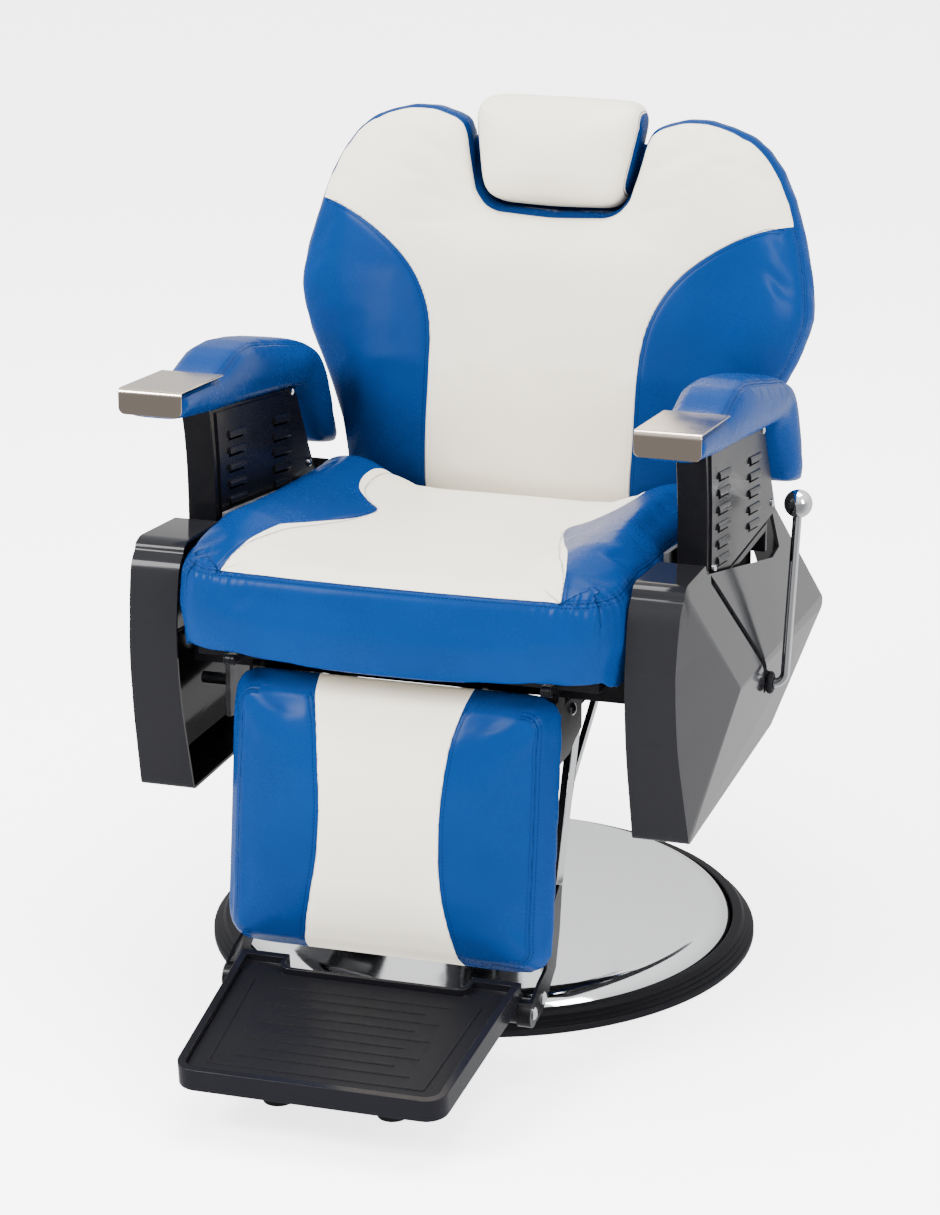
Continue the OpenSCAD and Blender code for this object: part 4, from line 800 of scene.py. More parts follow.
@dataclass
class Marks:
    """What each point of a cushion stores of its nearest seam."""

    gap: np.ndarray
    along: np.ndarray
    depth: np.ndarray
    pucker: np.ndarray


@dataclass
class Cushion:
    """A foam cushion in sewn vinyl, inflated from its CAD solid.

    Each path of seams is a sewn line in the cushion's own frame. Stretch holds the
    factors across and along, and the place along in millimetres that stays put.
    """

    node: str
    body: str
    panel: PanelFrame
    voxel: float = 0.006
    cap: float = 0.007
    shrink: float = 0.0025
    flat_back: float = 0.004
    fill: float = 0.75
    stretch: tuple[float, float, float] = (1.0, 1.0, 0.0)
    hang: Callable[[np.ndarray], np.ndarray] | None = None
    seams: list[np.ndarray] = field(default_factory=list)
    rims: list[Rim] = field(default_factory=list)
    tone: Callable[[np.ndarray], np.ndarray] | None = None
    pressure: float = 4.0
    stiffness: float = 12.0
    bending: float = 0.6
    mass: float = 0.3

    def form(self) -> Piece:
        """Makes the inflated form.

        Returns:
            The cushion before its seams.
        """
        bm = bmesh.new()
        bm.from_mesh(bpy.data.objects[self.node].data)
        bmesh.ops.remove_doubles(bm, verts=bm.verts, dist=MERGE)
        bmesh.ops.recalc_face_normals(bm, faces=bm.faces)
        bm.normal_update()
        for vert in bm.verts:
            vert.co -= vert.normal * self.shrink
        piece = from_bmesh(f"{self.node}_sewn", bm)
        mesher = piece.modifiers.new("voxels", "REMESH")
        mesher.mode = "VOXEL"
        mesher.voxel_size = self.voxel
        applied(piece)
        self.inflate(piece)
        bm = bmesh.new()
        bm.from_mesh(piece.data)
        for _ in range(3):
            bmesh.ops.smooth_vert(
                bm, verts=bm.verts, factor=0.5, use_axis_x=True, use_axis_y=True, use_axis_z=True
            )
        bm.to_mesh(piece.data)
        bm.free()
        finer = piece.modifiers.new("finer", "SUBSURF")
        finer.levels = finer.render_levels = 1
        applied(piece)
        own = self.panel.local(coordinates(piece.data))
        across, along, held = self.stretch
        own[:, 0] *= across
        own[:, 1] = held * MM + (own[:, 1] - held * MM) * along
        if self.hang:
            own[:, 2] -= self.hang(own)
        piece.data.vertices.foreach_set("co", self.panel.world(own).ravel())
        piece.data.update()
        return piece

    def inflate(self, piece: Piece) -> None:
        """Blows the cushion up with cloth pressure and keeps each point near its place."""
        rest = coordinates(piece.data)
        own = self.panel.local(rest)
        held = piece.vertex_groups.new(name="held")
        behind = own[:, 2] < self.flat_back + self.shrink
        held.add([int(i) for i in np.nonzero(behind)[0]], 1.0, "REPLACE")
        cloth = piece.modifiers.new("cloth", "CLOTH")
        settings = cloth.settings
        settings.quality = 3
        settings.mass = self.mass
        settings.vertex_group_mass = "held"
        settings.use_pressure = True
        settings.uniform_pressure_force = self.pressure
        settings.tension_stiffness = settings.compression_stiffness = self.stiffness
        settings.bending_stiffness = self.bending
        settings.effector_weights.gravity = 0.0
        cloth.point_cache.frame_start = 1
        cloth.point_cache.frame_end = CLOTH_FRAMES
        scene = bpy.context.scene
        for frame in range(1, CLOTH_FRAMES + 1):
            scene.frame_set(frame)
        applied(piece)
        scene.frame_set(1)
        move = coordinates(piece.data) - rest
        size = np.linalg.norm(move, axis=1, keepdims=True)
        limit = self.cap * np.tanh(size / self.cap)
        points = rest + move / np.maximum(size, 1e-9) * limit
        piece.data.vertices.foreach_set("co", points.ravel())
        piece.data.update()
        piece.vertex_groups.clear()

    def sew(self, piece: Piece) -> None:
        """Presses the seams in and stores the distances that the vinyl reads."""
        mesh = piece.data
        points = coordinates(mesh)
        normals = np.empty(len(mesh.vertices) * 3)
        mesh.vertices.foreach_get("normal", normals)
        normals = normals.reshape(-1, 3)
        tree = BVHTree.FromObject(piece, bpy.context.evaluated_depsgraph_get())
        marks = Marks(np.full(len(points), 1.0), *np.zeros((3, len(points))))
        for seam in self.seams:
            near_face = [tree.find_nearest(Vector(p))[0] for p in self.panel.world(seam)]
            snapped = np.array([tuple(p) for p in near_face])
            steps = np.linalg.norm(np.diff(snapped, axis=0), axis=1)
            run = np.concatenate([[0.0], np.cumsum(steps)])
            last = len(snapped) - 1
            finder = KDTree(len(snapped))
            for i, p in enumerate(snapped):
                finder.insert(Vector(p), i)
            finder.balance()
            low, high = snapped.min(0) - SEAM_REACH, snapped.max(0) + SEAM_REACH
            for k in np.nonzero(((points > low) & (points < high)).all(axis=1))[0]:
                _, i, near = finder.find(Vector(points[k]))
                if near >= marks.gap[k] or (i in (0, last) and near > SEAM_END):
                    continue
                line = snapped[min(i + 1, last)] - snapped[max(i - 1, 0)]
                line = line / max(np.linalg.norm(line), 1e-9)
                shift = float((points[k] - snapped[i]) @ line)
                marks.gap[k] = math.sqrt(max(near * near - shift * shift, 0.0))
                marks.along[k] = run[i] + shift
                marks.depth[k] = SEAM_GROOVE
        self.run_rims(points, normals, marks)
        press = marks.depth * np.exp(-((marks.gap / GROOVE_W) ** 2))
        wave = np.sin(marks.along * math.tau / RIPPLE_LENGTH + RIPPLE_START)
        ripple = RIPPLE_H * wave * np.exp(-marks.gap / RIPPLE_FADE) * marks.pucker
        points = points - normals * (press - ripple)[:, None]
        mesh.vertices.foreach_set("co", points.ravel())
        own = self.panel.local(points)
        store(mesh, "seam", marks.gap)
        store(mesh, "along", marks.along)
        store(mesh, "pucker", marks.pucker)
        store(mesh, "tone", self.tone(own) if self.tone else np.full(len(points), -1.0))
        mesh.update()

    def run_rims(self, points: np.ndarray, normals: np.ndarray, marks: Marks) -> None:
        """Adds the rims to the marks of the seams.

        Args:
            points: the mesh's points.
            normals: its normals.
            marks: what the points store, changed in place.
        """
        own = self.panel.local(points)
        facing = normals @ self.panel.axes().T
        for rim in self.rims:
            here = rim.measure(own)
            ahead = [rim.measure(own + SLOPE_STEP * unit) for unit in np.eye(3)]
            slope = np.stack([(value - here) / SLOPE_STEP for value in ahead], axis=1)
            slope -= facing * (slope * facing).sum(axis=1, keepdims=True)
            steep = np.linalg.norm(slope, axis=1)
            near = np.abs(here) / np.maximum(steep, 0.25)
            closer = (near < marks.gap) & rim.reach(own, facing)
            axis = np.abs(np.cross(slope, facing)).argmax(axis=1)
            marks.gap[closer] = near[closer]
            marks.along[closer] = own[np.arange(len(own)), axis][closer]
            marks.depth[closer] = rim.groove
            marks.pucker[closer] = gathered(own[:, :2], rim.gathers)[closer]

    def build(self) -> Piece:
        """Makes, sews and places the cushion.

        Returns:
            The finished piece.
        """
        piece = self.form()
        self.sew(piece)
        smooth(piece, 180.0)
        paint(piece, VINYL)
        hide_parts(self.node)
        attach(piece, self.body)
        log.info("sewed %s with %d points", piece.name, len(piece.data.vertices))
        return piece


def gathered(places: np.ndarray, centres: Sequence[Point], spread: float = 0.055) -> np.ndarray:
    """Returns how strongly the vinyl is gathered at each place.

    Args:
        places: rows of u and v in metres.
        centres: the middles of the gathers in millimetres.
        spread: how far a gather reaches in metres.

    Returns:
        Strengths from 0 to 1.
    """
    strength = np.zeros(len(places))
    for centre in centres:
        away = ((places - np.array(centre) * MM) ** 2).sum(axis=1)
        strength = np.maximum(strength, np.exp(-away / spread**2))
    return strength


def both_sides(half: Sequence[Point]) -> np.ndarray:
    """Closes a right-hand boundary with its mirror image.

    Args:
        half: points in millimetres, from the front or foot to the back or top.

    Returns:
        The closed outline in metres.
    """
    right = rounded_path(half, 0.003)
    return np.vstack([right, right[::-1] * MIRROR])


def seam_pair(half: np.ndarray, height: float) -> list[np.ndarray]:
    """Lifts a right-hand line to a height above the cushion's back, and mirrors it.

    Args:
        half: rows of u and v in metres.
        height: the height in metres.

    Returns:
        Both paths, in the cushion's own frame.
    """
    level = np.full(len(half), height)
    return [np.column_stack([half, level]), np.column_stack([half * MIRROR, level])]


# ---------------------------------------------------------------- sub-assemblies


@dataclass
class Pedestal:
    """Round base, pump column and foot pedal."""

    base_r: float = 330.0
    skirt_w: float = 26.0
    skirt_h: float = 24.0
    plate_t: float = 8.0
    dish_h: float = 52.0
    neck_r: float = 53.3
    shoulder_w: float = 30.0
    shoulder_z: float = 38.0

    def skirt(self) -> Piece:
        """Turns the rubber skirt with its ridges."""
        r, w, h = self.base_r, self.skirt_w, self.skirt_h
        outside = [(r - 1.6, 0), (r, 1.6), (r, h * 0.3)]
        for k in range(3):
            share = 0.08 + 0.28 * k
            x = r - w * 0.6 * share - 0.2
            z = h * (0.32 + 0.62 * share)
            outside += [(x, z), (x - 1.5, z + 0.5), (x - 1.2, z + 2.2)]
        outside += [(r - w * 0.58, h - 0.4), (r - w * 0.66, h), (r - w + 1.5, h), (r - w, h - 1.0)]
        foot = self.plate_t
        inner = [(r - w, foot), (r - w - 8, foot), (r - w - 8, 0)]
        return turned("base_skirt_ridged", outside + inner)

    def dish(self) -> Piece:
        """Spins the chromed dish with its rolled shoulder and centre lip."""
        edge, neck, top = self.base_r - self.skirt_w, self.neck_r, self.dish_h
        shoulder = edge - self.shoulder_w
        roll_h, climb = self.shoulder_z - self.plate_t, top - self.shoulder_z - 1.5
        roll = [
            (shoulder + self.shoulder_w * math.cos(a), self.plate_t + roll_h * math.sin(a))
            for a in (math.radians(d) for d in range(0, 91, 6))
        ]
        slope = [
            (
                shoulder + (neck + 16 - shoulder) * t,
                self.shoulder_z + climb * (t + 0.16 * math.sin(math.pi * t)),
            )
            for t in (k / 10 for k in range(1, 11))
        ]
        lip = [(neck + 8, top - 0.4), (neck + 2, top), (neck, top)]
        wall, foot = 2.5, self.plate_t
        inner = [(neck, top - wall), (shoulder, self.shoulder_z - wall), (edge - wall, foot)]
        return turned("base_dish_spun", roll + slope + lip + inner)

    def build(self) -> None:
        """Builds and places the pedestal's pieces."""
        for piece, node, finish in (
            (self.skirt(), "base_skirt", RUBBER),
            (self.dish(), "base_dish", CHROME),
        ):
            paint(piece, finish)
            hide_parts(node)
            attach(piece, "pedestal")
        dress_all("pedestal", (
            (CASTING, 0.0, "floor_plate pump_cylinder"),
            (CHROME, 0.8, "pump_sleeve"),
            (BRONZE, 0.0, "pump_bush"),
            (ZINC, 0.6, "pump_bolts"),
        ))
        dress_all("pedal", ((CHROME, 0.8, "pump_pedal"), (RUBBER, 1.5, "pedal_rubber")))
        dress_all("ram", ((CHROME, 0.6, "ram"),))


@dataclass
class SeatCarriage:
    """The seat's steel frame, its side frames and the moulded side covers.

    The nose and the groove of the covers are rows of Y and Z in millimetres, the limits
    below them are in metres, and the angles are in degrees.
    """

    nose: tuple[Point, ...] = (
        (-245, 838), (-313, 552), (-333, 468), (-326, 380), (-290, 258), (-190, -81),
    )
    groove: tuple[Point, ...] = ((-180, 532), (24, 352))
    level_cuts: range = range(264, 552, 7)
    cross_cuts: range = range(-311, -282, 4)
    sweep: range = range(-42, 43, 6)
    crown_r: float = 30.0
    top_fall: float = 0.07
    nose_round: float = 7.0
    ridge_share: float = 0.12
    nose_end: float = -0.28
    shading_end: float = -0.285
    round_end: float = -0.27
    outer_wall: float = 0.3
    level_sharp: float = 40.0
    nose_sharp: float = 6.0
    flank_sharp: float = 0.4
    ridge_angle: float = 9.0
    corner_angle: float = 45.0
    strip_half_w: float = 9.0
    strip_t: float = 0.0015

    def nose_line(self, z: np.ndarray) -> np.ndarray:
        """Returns how far forward a cover's nose reaches at each height, in millimetres."""
        corners = np.array(self.nose)[::-1]
        return np.interp(z, corners[:, 1], corners[:, 0])

    def curve(self, bm: bmesh.types.BMesh) -> None:
        """Bends a cover's straight nose into one sweep and rounds its top corner.

        Args:
            bm: the cover, whose faces are cut across first so that they can bend.
        """
        top_y, top = self.nose[1]
        cuts = [((0, 0, z * MM), (0, 0, 1), 0.0) for z in self.level_cuts]
        cuts += [((0, y * MM, 0), (0, 1, 0), (top - 40) * MM) for y in self.cross_cuts]
        for place, normal, floor in cuts:
            part = [
                f for f in bm.faces
                if min(v.co.y for v in f.verts) < self.nose_end
                and max(v.co.z for v in f.verts) > floor
            ]
            geom = part + list({e for f in part for e in f.edges})
            geom += list({v for f in part for v in f.verts})
            bmesh.ops.bisect_plane(bm, geom=geom, dist=0.0001, plane_co=place, plane_no=normal)
        points = np.array([tuple(v.co) for v in bm.verts]) / MM
        y, z = points[:, 1], points[:, 2]
        swept = np.mean([self.nose_line(z + step) for step in self.sweep], axis=0)
        y = y + (swept - self.nose_line(z)) * (1 - ease((y + 300) / 60))
        r = self.crown_r
        behind = np.clip(r - (y - swept), 0, r)
        above = np.clip(r - (top - (y - top_y) * self.top_fall - z), 0, r)
        corner = (behind > 0) & (above > 0)
        reach = np.maximum(np.hypot(behind, above), 1e-6)
        scale = np.where(corner, np.maximum(behind, above) / reach, 1.0)
        y = y + behind * (1 - scale)
        z = z - above * (1 - scale)
        for vert, a, b in zip(bm.verts, y, z):
            vert.co.y, vert.co.z = a * MM, b * MM

    def cover(self, side: Side) -> None:
        """Dresses a side cover, with a swept nose and a round on the edges of its nose.

        Args:
            side: the side that the cover is on.
        """
        piece = dressed(side.part("side_cover"), "seat", GLOSS, 0.0, 12.0)
        bm = bmesh.new()
        bm.from_mesh(piece.data)
        self.curve(bm)
        bm.normal_update()
        weight = bm.edges.layers.float.new("bevel_weight_edge")
        for edge in bm.edges:
            if len(edge.link_faces) != 2:
                continue
            angle = math.degrees(edge.calc_face_angle(0.0))
            span = edge.verts[1].co - edge.verts[0].co
            level = abs(span.x) > 0.97 * span.length
            middle = (edge.verts[0].co + edge.verts[1].co) / 2
            flank = self.nose_sharp if middle.y < self.shading_end else self.flank_sharp
            edge.smooth = angle < (self.level_sharp if level else flank)
            outer = edge.is_convex and abs(middle.x) >= self.outer_wall
            if outer and not level and angle >= self.ridge_angle:
                corner = angle > self.corner_angle and middle.y < self.round_end
                edge[weight] = 1.0 if corner else self.ridge_share
        bm.to_mesh(piece.data)
        bm.free()
        rounded(piece, self.nose_round, 4, "WEIGHT")
        self.groove_back(piece, side)

    def groove_back(self, cover: Piece, side: Side) -> None:
        """Lines the groove in a cover from inside, so that no light comes through.

        Args:
            cover: the dressed cover.
            side: the side that the cover is on.
        """
        tree = BVHTree.FromObject(cover, bpy.context.evaluated_depsgraph_get())
        out = side.value
        start, end = np.array(self.groove[0]), np.array(self.groove[1])
        run = (end - start) / np.linalg.norm(end - start)
        bm = bmesh.new()
        rows = []
        for share in np.linspace(0.0, 1.0, 9):
            for across in (-self.strip_half_w, self.strip_half_w):
                y, z = start + (end - start) * share + across * np.array([-run[1], run[0]])
                y, z = y * MM, z * MM
                wall = tree.ray_cast(Vector((out * 0.29, y, z)), Vector((out, 0, 0)))[0]
                x = wall.x - out * 0.0006 if wall else out * 0.315
                rows.append((bm.verts.new((x, y, z)), bm.verts.new((x - out * self.strip_t, y, z))))
        for k in range(0, len(rows) - 2, 2):
            (a, b), (c, d), (e, f), (g, h) = rows[k : k + 4]
            for corners in ((a, c, g, e), (b, f, h, d), (a, e, f, b), (c, d, h, g)):
                bm.faces.new(corners)
        for (a, b), (c, d) in (rows[:2], rows[-2:]):
            bm.faces.new((a, b, d, c))
        bmesh.ops.recalc_face_normals(bm, faces=bm.faces)
        strip = from_bmesh(side.part("groove_back"), bm)
        smooth(strip, 30.0)
        paint(strip, COATED)
        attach(strip, "seat")

    def build(self) -> None:
        """Builds and places the pieces that turn with the seat."""
        louvres = "louvre_outer_left louvre_inner_left louvre_outer_right louvre_inner_right"
        dress_all("seat", (
            (COATED, 1.0, "swivel_plate"),
            (ZINC, 0.6, "swivel_bolts"),
            (COATED, 1.0, "seat_frame"),
            (COATED, 0.6, "seat_board"),
            (PRIMED, 0.6, "side_frame_left side_frame_right"),
            (ZINC, 0.5, "cover_posts"),
            (COATED, 1.2, "arm_support_left arm_support_right"),
            (COATED, 1.0, "arm_clamps"),
            (COATED, 0.5, louvres),
            (CHROME, 0.0, "louvre_screws"),
            (STEEL_CAP, 0.6, "armrest_cap_left armrest_cap_right"),
            (RUBBER, 0.0, "lever_grommet"),
            (BRONZE, 0.0, "lever_bush recline_bushes"),
            (COATED, 0.8, "lock_cylinder"),
        ))
        for side in Side:
            self.cover(side)
        dress_all("lock_rod", ((CHROME, 0.6, "lock_rod"),))
        dress_all("link", ((ZINC, 0.6, "recline_link"),))


@dataclass
class Lever:
    """The recline lever with its ball."""

    def build(self) -> None:
        """Builds and places the lever."""
        dress_all("lever", ((CHROME, 0.0, "recline_lever lever_ball"),))


@dataclass
class SeatUpholstery:
    """The seat cushion: an ivory panel, blue bolsters and a deep blue front band."""

    panel: PanelFrame = PanelFrame((0.0, 0.0, 0.421), -5.0)
    half_w: float = 256.0
    front: float = 387.0
    bolster_h: float = 36.0
    band_h: float = 93.0
    corner_r: float = 58.0
    skirt_h: float = 11.0
    ivory: tuple[Point, ...] = (
        (200, -420), (200, -386), (194, -350), (186, -310), (170, -250), (150, -190),
        (132, -130), (121, -90), (118, -62), (123, -42), (140, -27), (156, -8), (165, 20),
        (170, 56), (170, 90), (162, 116), (145, 134), (132, 156), (128, 220),
    )
    corners: tuple[Point, ...] = ((-232, -352), (232, -352))

    def edge(self, own: np.ndarray) -> np.ndarray:
        """Measures each point's height above the seam of the boxing."""
        half, front = self.half_w, self.front
        across = ease((np.abs(own[:, 0]) / MM - half * 0.42) / (half * 0.4))
        bolster = self.bolster_h * across * ease((own[:, 1] / MM + front) / (front * 0.42))
        return own[:, 2] - (self.band_h + 0.45 * bolster) * MM

    def tone(self, own: np.ndarray) -> np.ndarray:
        """Measures how far each point lies inside the ivory panel."""
        flat = signed_gap(own[:, :2], both_sides(self.ivory))
        return np.minimum(flat, np.where(own[:, 1] < -self.front * MM * 0.93, self.edge(own), 1.0))

    def skirt(self, own: np.ndarray) -> np.ndarray:
        """Measures how far the vinyl hangs below the cushion, over the edge of the board."""
        turn = [math.radians(d) for d in range(0, 91, 10)]
        near = self.half_w - self.corner_r
        side = [
            (near + self.corner_r * math.sin(a), -self.front + self.corner_r * (1 - math.cos(a)))
            for a in turn
        ]
        half = np.array(side + [(self.half_w, 400.0)]) * MM
        outline = np.vstack([half, half[::-1] * MIRROR])
        inside = signed_gap(own[:, :2], outline) / MM
        share = (1 - ease((inside - 8.0) / 4.0)) * (1 - ease((own[:, 1] / MM - 60.0) / 40.0))
        return self.skirt_h * MM * share * (1 - np.clip(own[:, 2] / 0.04, 0, 1))

    def build(self) -> None:
        """Builds the seat cushion."""
        right = rounded_path(self.ivory)
        right = right[(right[:, 1] > -0.372) & (right[:, 1] < 0.2)]
        Cushion(
            "seat_cushion", "seat", self.panel, voxel=0.005, cap=0.006, tone=self.tone,
            stretch=(1.022, 1.008, 0.0), hang=self.skirt, seams=seam_pair(right, 0.1),
            rims=[Rim(self.edge, lambda own, facing: own[:, 1] < 0.12, 0.001, self.corners)],
        ).build()


@dataclass
class BackUpholstery:
    """The backrest cushion, its padded rear shell and the headrest."""

    panel: PanelFrame = PanelFrame((0.0, 0.245, 0.44), 76.0)
    half_w: float = 324.0
    length: float = 516.0
    ivory: tuple[Point, ...] = (
        (131, -20), (131, 60), (132, 115), (132, 180), (134, 226), (141, 262), (158, 298),
        (184, 329), (222, 358), (262, 379), (302, 391), (332, 395), (420, 410), (420, 700),
    )
    headrest_half_w: float = 105.0
    headrest_v: float = 401.0
    headrest_len: float = 129.0
    web: tuple[float, float, float] = (122.0, 379.0, 482.0)

    def tone(self, own: np.ndarray) -> np.ndarray:
        """Measures how far each point lies inside the ivory panel's front."""
        return np.minimum(signed_gap(own[:, :2], both_sides(self.ivory)), self.edge(own))

    def edge(self, own: np.ndarray) -> np.ndarray:
        """Measures each point's height above the seam of the boxing."""
        wing = ease((np.abs(own[:, 0]) / (self.half_w * MM) - 0.55) / 0.45)
        return own[:, 2] - 0.058 + 0.016 * wing

    def gusset(self, own: np.ndarray) -> np.ndarray:
        """Measures how far each point of the headrest lies inside its two end gussets."""
        rise = np.clip((own[:, 1] / MM - self.headrest_v) / self.headrest_len / 0.75, 0, 1)
        share = 0.84 + 0.16 * rise
        return (self.headrest_half_w * share - 2.0) * MM - np.abs(own[:, 0])

    def shell(self) -> None:
        """Wraps the back board in blue vinyl with a seam inside its edge."""
        Cushion(
            "back_board", "backrest", self.panel, voxel=0.005, cap=0.002, shrink=0.0,
            flat_back=1.0, stretch=(1.02, 1.0, 0.0),
            rims=[
                Rim(
                    lambda own: own[:, 2] + 0.006,
                    lambda own, facing: np.abs(facing[:, 2]) < 0.8,
                    0.0006,
                )
            ],
        ).build()

    def lining(self) -> None:
        """Closes the rear of the headrest's notch with a flat vinyl web."""
        half, foot, rise = self.web
        post, fold = half - 68, foot + 26
        rear, thick, edge = -0.0118, 0.0066, 0.002
        bm = bmesh.new()
        points = [
            (-half, foot), (half, foot), (half, rise), (post, rise),
            (post, fold), (-post, fold), (-post, rise), (-half, rise),
        ]
        flat = np.array([(u * MM, v * MM, rear) for u, v in points])
        sheet = bm.faces.new([bm.verts.new(p) for p in self.panel.world(flat)])
        out = bmesh.ops.extrude_face_region(bm, geom=[sheet])["geom"]
        lift = Vector(self.panel.axes()[2] * thick)
        raised = [g for g in out if isinstance(g, bmesh.types.BMVert)]
        bmesh.ops.translate(bm, vec=lift, verts=raised)
        bmesh.ops.recalc_face_normals(bm, faces=bm.faces)
        bmesh.ops.bevel(
            bm, geom=bm.edges[:], offset=edge, segments=3, profile=0.5,
            affect="EDGES", material=-1, clamp_overlap=True,
        )
        piece = from_bmesh("notch_lining", bm)
        smooth(piece, 40.0)
        for name, value in (("seam", 1.0), ("along", 0.0), ("pucker", 0.0), ("tone", -1.0)):
            store(piece.data, name, np.full(len(piece.data.vertices), value))
        paint(piece, VINYL)
        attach(piece, "backrest")

    def build(self) -> None:
        """Builds the backrest and the headrest."""
        right = rounded_path(self.ivory)
        right = right[(right[:, 0] < 0.312) & (right[:, 1] > 0.0)]
        Cushion(
            "backrest_cushion", "backrest", self.panel, voxel=0.005, cap=0.006, tone=self.tone,
            stretch=(1.028, 1.0, 0.0), seams=seam_pair(right, 0.085),
            rims=[Rim(self.edge, lambda own, facing: facing[:, 2] > -0.5, 0.001)],
        ).build()
        Cushion(
            "headrest_cushion", "headrest", self.panel, voxel=0.004, cap=0.004, shrink=0.0,
            tone=self.gusset, stretch=(1.07, 1.01, self.headrest_v),
            rims=[Rim(self.gusset, lambda own, facing: facing[:, 2] > -0.9)],
        ).build()
        self.shell()
        self.lining()
        dress_all("backrest", (
            (COATED, 1.0, "back_bracket_left back_bracket_right"),
            (PRIMED, 0.0, "recline_shaft"),
            (COATED, 0.8, "headrest_guide"),
        ))
        dress_all("headrest", ((CHROME, 0.8, "headrest_post"),))


@dataclass
class ArmUpholstery:
    """The two armrest pads."""

    panel: PanelFrame = PanelFrame((0.0, 0.0, 0.69), 0.0)
    middle: float = 299.0
    top_half_w: float = 31.0

    def edge(self, own: np.ndarray) -> np.ndarray:
        """Measures how far each point lies inside the pad's top panel."""
        return self.top_half_w * MM - np.abs(np.abs(own[:, 0]) - self.middle * MM)

    def build(self) -> None:
        """Builds both pads."""
        for side in Side:
            Cushion(
                side.part("armrest_pad"), "seat", self.panel, voxel=0.004, cap=0.003,
                shrink=0.001, flat_back=-1.0, fill=0.85,
                rims=[Rim(self.edge, lambda own, facing: facing[:, 2] > -0.1, 0.0009)],
            ).build()


@dataclass
class LegRest:
    """The calf pad and the folding footplate."""

    panel: PanelFrame = PanelFrame((0.0, -0.36, 0.118), 82.7)
    band_h: float = 37.0
    ivory: tuple[Point, ...] = (
        (97, -40), (93, -8), (86, 30), (78, 70), (72, 110), (70, 160),
        (72, 200), (78, 255), (88, 300), (95, 330), (98, 360),
    )

    def tone(self, own: np.ndarray) -> np.ndarray:
        """Measures how far each point lies inside the ivory panel."""
        return signed_gap(own[:, :2], both_sides(self.ivory))

    def edge(self, own: np.ndarray) -> np.ndarray:
        """Measures each point's height above the seam of the gussets."""
        return own[:, 2] - self.band_h * MM

    def build(self) -> None:
        """Builds the leg rest and the footplate."""
        right = rounded_path(self.ivory)
        right = right[(right[:, 1] > -0.006) & (right[:, 1] < 0.314)]
        Cushion(
            "calf_pad", "leg_rest", self.panel, voxel=0.005, cap=0.004, tone=self.tone,
            stretch=(1.06, 1.045, 302.0), seams=seam_pair(right, 0.055),
            rims=[Rim(self.edge, lambda own, facing: np.abs(own[:, 0]) > 0.15, 0.0012)],
        ).build()
        dress_all("leg_rest", (
            (COATED, 0.6, "leg_hinges"),
            (CHROME, 1.2, "leg_arm_left leg_arm_right"),
            (CHROME, 0.0, "leg_crossbar"),
            (COATED, 0.8, "calf_board"),
            (COATED, 0.6, "calf_lug"),
            (COATED, 1.0, "foot_brackets"),
            (CHROME, 0.0, "leg_bolts"),
        ))
        dress_all("footplate", (
            (TRAY, 1.6, "foot_tray"),
            (RUBBER, 0.4, "foot_tread"),
            (RUBBER, 1.2, "foot_buffers"),
        ))


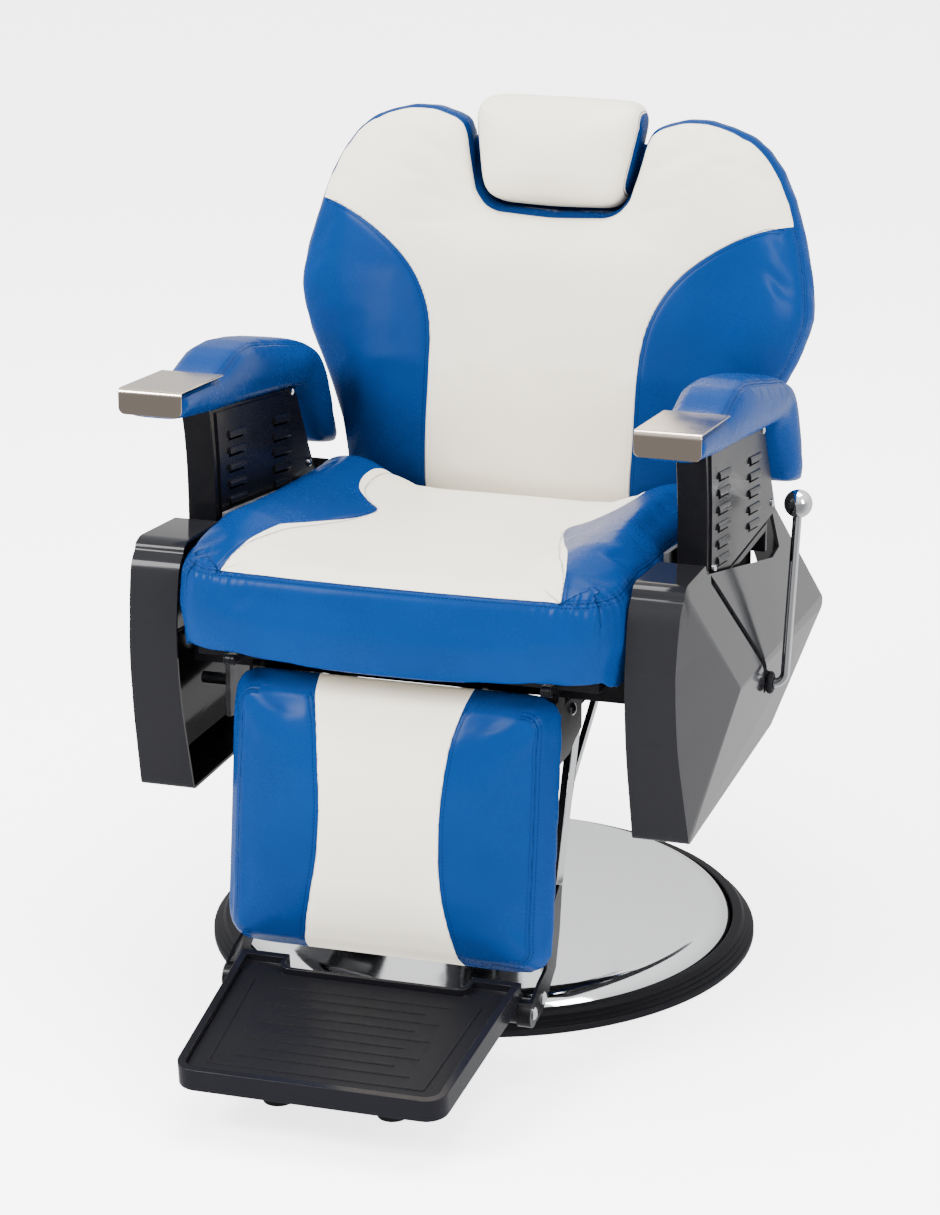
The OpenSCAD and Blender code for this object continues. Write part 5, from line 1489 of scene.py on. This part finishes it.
@dataclass
class Studio:
    """Pale floor, soft lights and the camera at the photograph's angle."""

    camera_at: tuple[float, float, float] = (1.267, -4.118, 1.834)
    target: tuple[float, float, float] = (0.0, 0.0, 0.5)
    lens: float = 112.6
    shift: tuple[float, float] = (-0.01152, -0.0597)
    sensor_w: float = 36.0
    clip_end: float = 250.0
    floor_size: float = 90.0
    dim: float = 0.4
    wall: float = 1.15
    ceiling: float = 1.8

    def camera(self) -> None:
        """Places the camera."""
        data = bpy.data.cameras.new("studio_camera")
        data.lens = self.lens
        data.sensor_width = self.sensor_w
        data.shift_x, data.shift_y = self.shift
        data.clip_end = self.clip_end
        camera = bpy.data.objects.new("studio_camera", data)
        camera.location = self.camera_at
        aim = Vector(self.target) - Vector(self.camera_at)
        camera.rotation_euler = aim.to_track_quat("-Z", "Y").to_euler()
        bpy.context.scene.collection.objects.link(camera)
        bpy.context.scene.camera = camera

    def lamp(self, name: str, at: tuple[float, float, float], size: Point, power: float) -> None:
        """Hangs one soft rectangular lamp that faces the chair."""
        data = bpy.data.lights.new(name, "AREA")
        data.shape = "RECTANGLE"
        data.size, data.size_y = size
        data.energy = power
        lamp = bpy.data.objects.new(name, data)
        lamp.location = at
        aim = Vector(self.target) - Vector(at)
        lamp.rotation_euler = aim.to_track_quat("-Z", "Y").to_euler()
        bpy.context.scene.collection.objects.link(lamp)

    def build(self) -> None:
        """Builds the studio."""
        bm = bmesh.new()
        bmesh.ops.create_grid(bm, x_segments=1, y_segments=1, size=self.floor_size)
        floor = from_bmesh("studio_floor", bm)
        paint(floor, FLOOR)
        floor.visible_glossy = False
        world = bpy.data.worlds.new("studio_world")
        world.use_nodes = True
        backdrop = world.node_tree.nodes["Background"]
        backdrop.inputs["Color"].default_value = (1.0, 1.0, 1.0, 1.0)
        desk = NodeDesk(world.node_tree)
        way = desk.add("ShaderNodeSeparateXYZ")
        desk.join(desk.add("ShaderNodeTexCoord").outputs["Generated"], way.inputs[0])
        rear = desk.span(way.outputs["Y"], -0.6, 0.3, self.dim, self.wall)
        high = desk.span(way.outputs["Z"], 0.1, 0.75)
        lift = desk.math("MULTIPLY", high, desk.math("SUBTRACT", self.ceiling, rear))
        desk.join(desk.math("ADD", rear, lift), backdrop.inputs["Strength"])
        bpy.context.scene.world = world
        self.lamp("key_lamp", (-2.4, -2.8, 3.2), (1.8, 1.8), 400.0)
        self.lamp("fill_lamp", (3.2, -2.0, 2.4), (1.2, 2.0), 150.0)
        self.lamp("top_lamp", (0.2, 0.4, 3.8), (2.6, 2.0), 260.0)
        self.camera()


def main() -> None:
    """Builds the picture in order and reports each sub-assembly."""
    logging.basicConfig(level=logging.INFO, format="%(name)s: %(message)s")
    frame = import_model()
    known = {piece.name for piece in bpy.context.scene.objects}
    for kind in (
        Studio, Pedestal, SeatCarriage, Lever,
        SeatUpholstery, BackUpholstery, ArmUpholstery, LegRest,
    ):
        kind().build()
        fresh = sorted({piece.name for piece in bpy.context.scene.objects} - known)
        known.update(fresh)
        log.info("%s: built %s", kind.__name__, ", ".join(fresh))


if __name__ == "__main__":
    main()
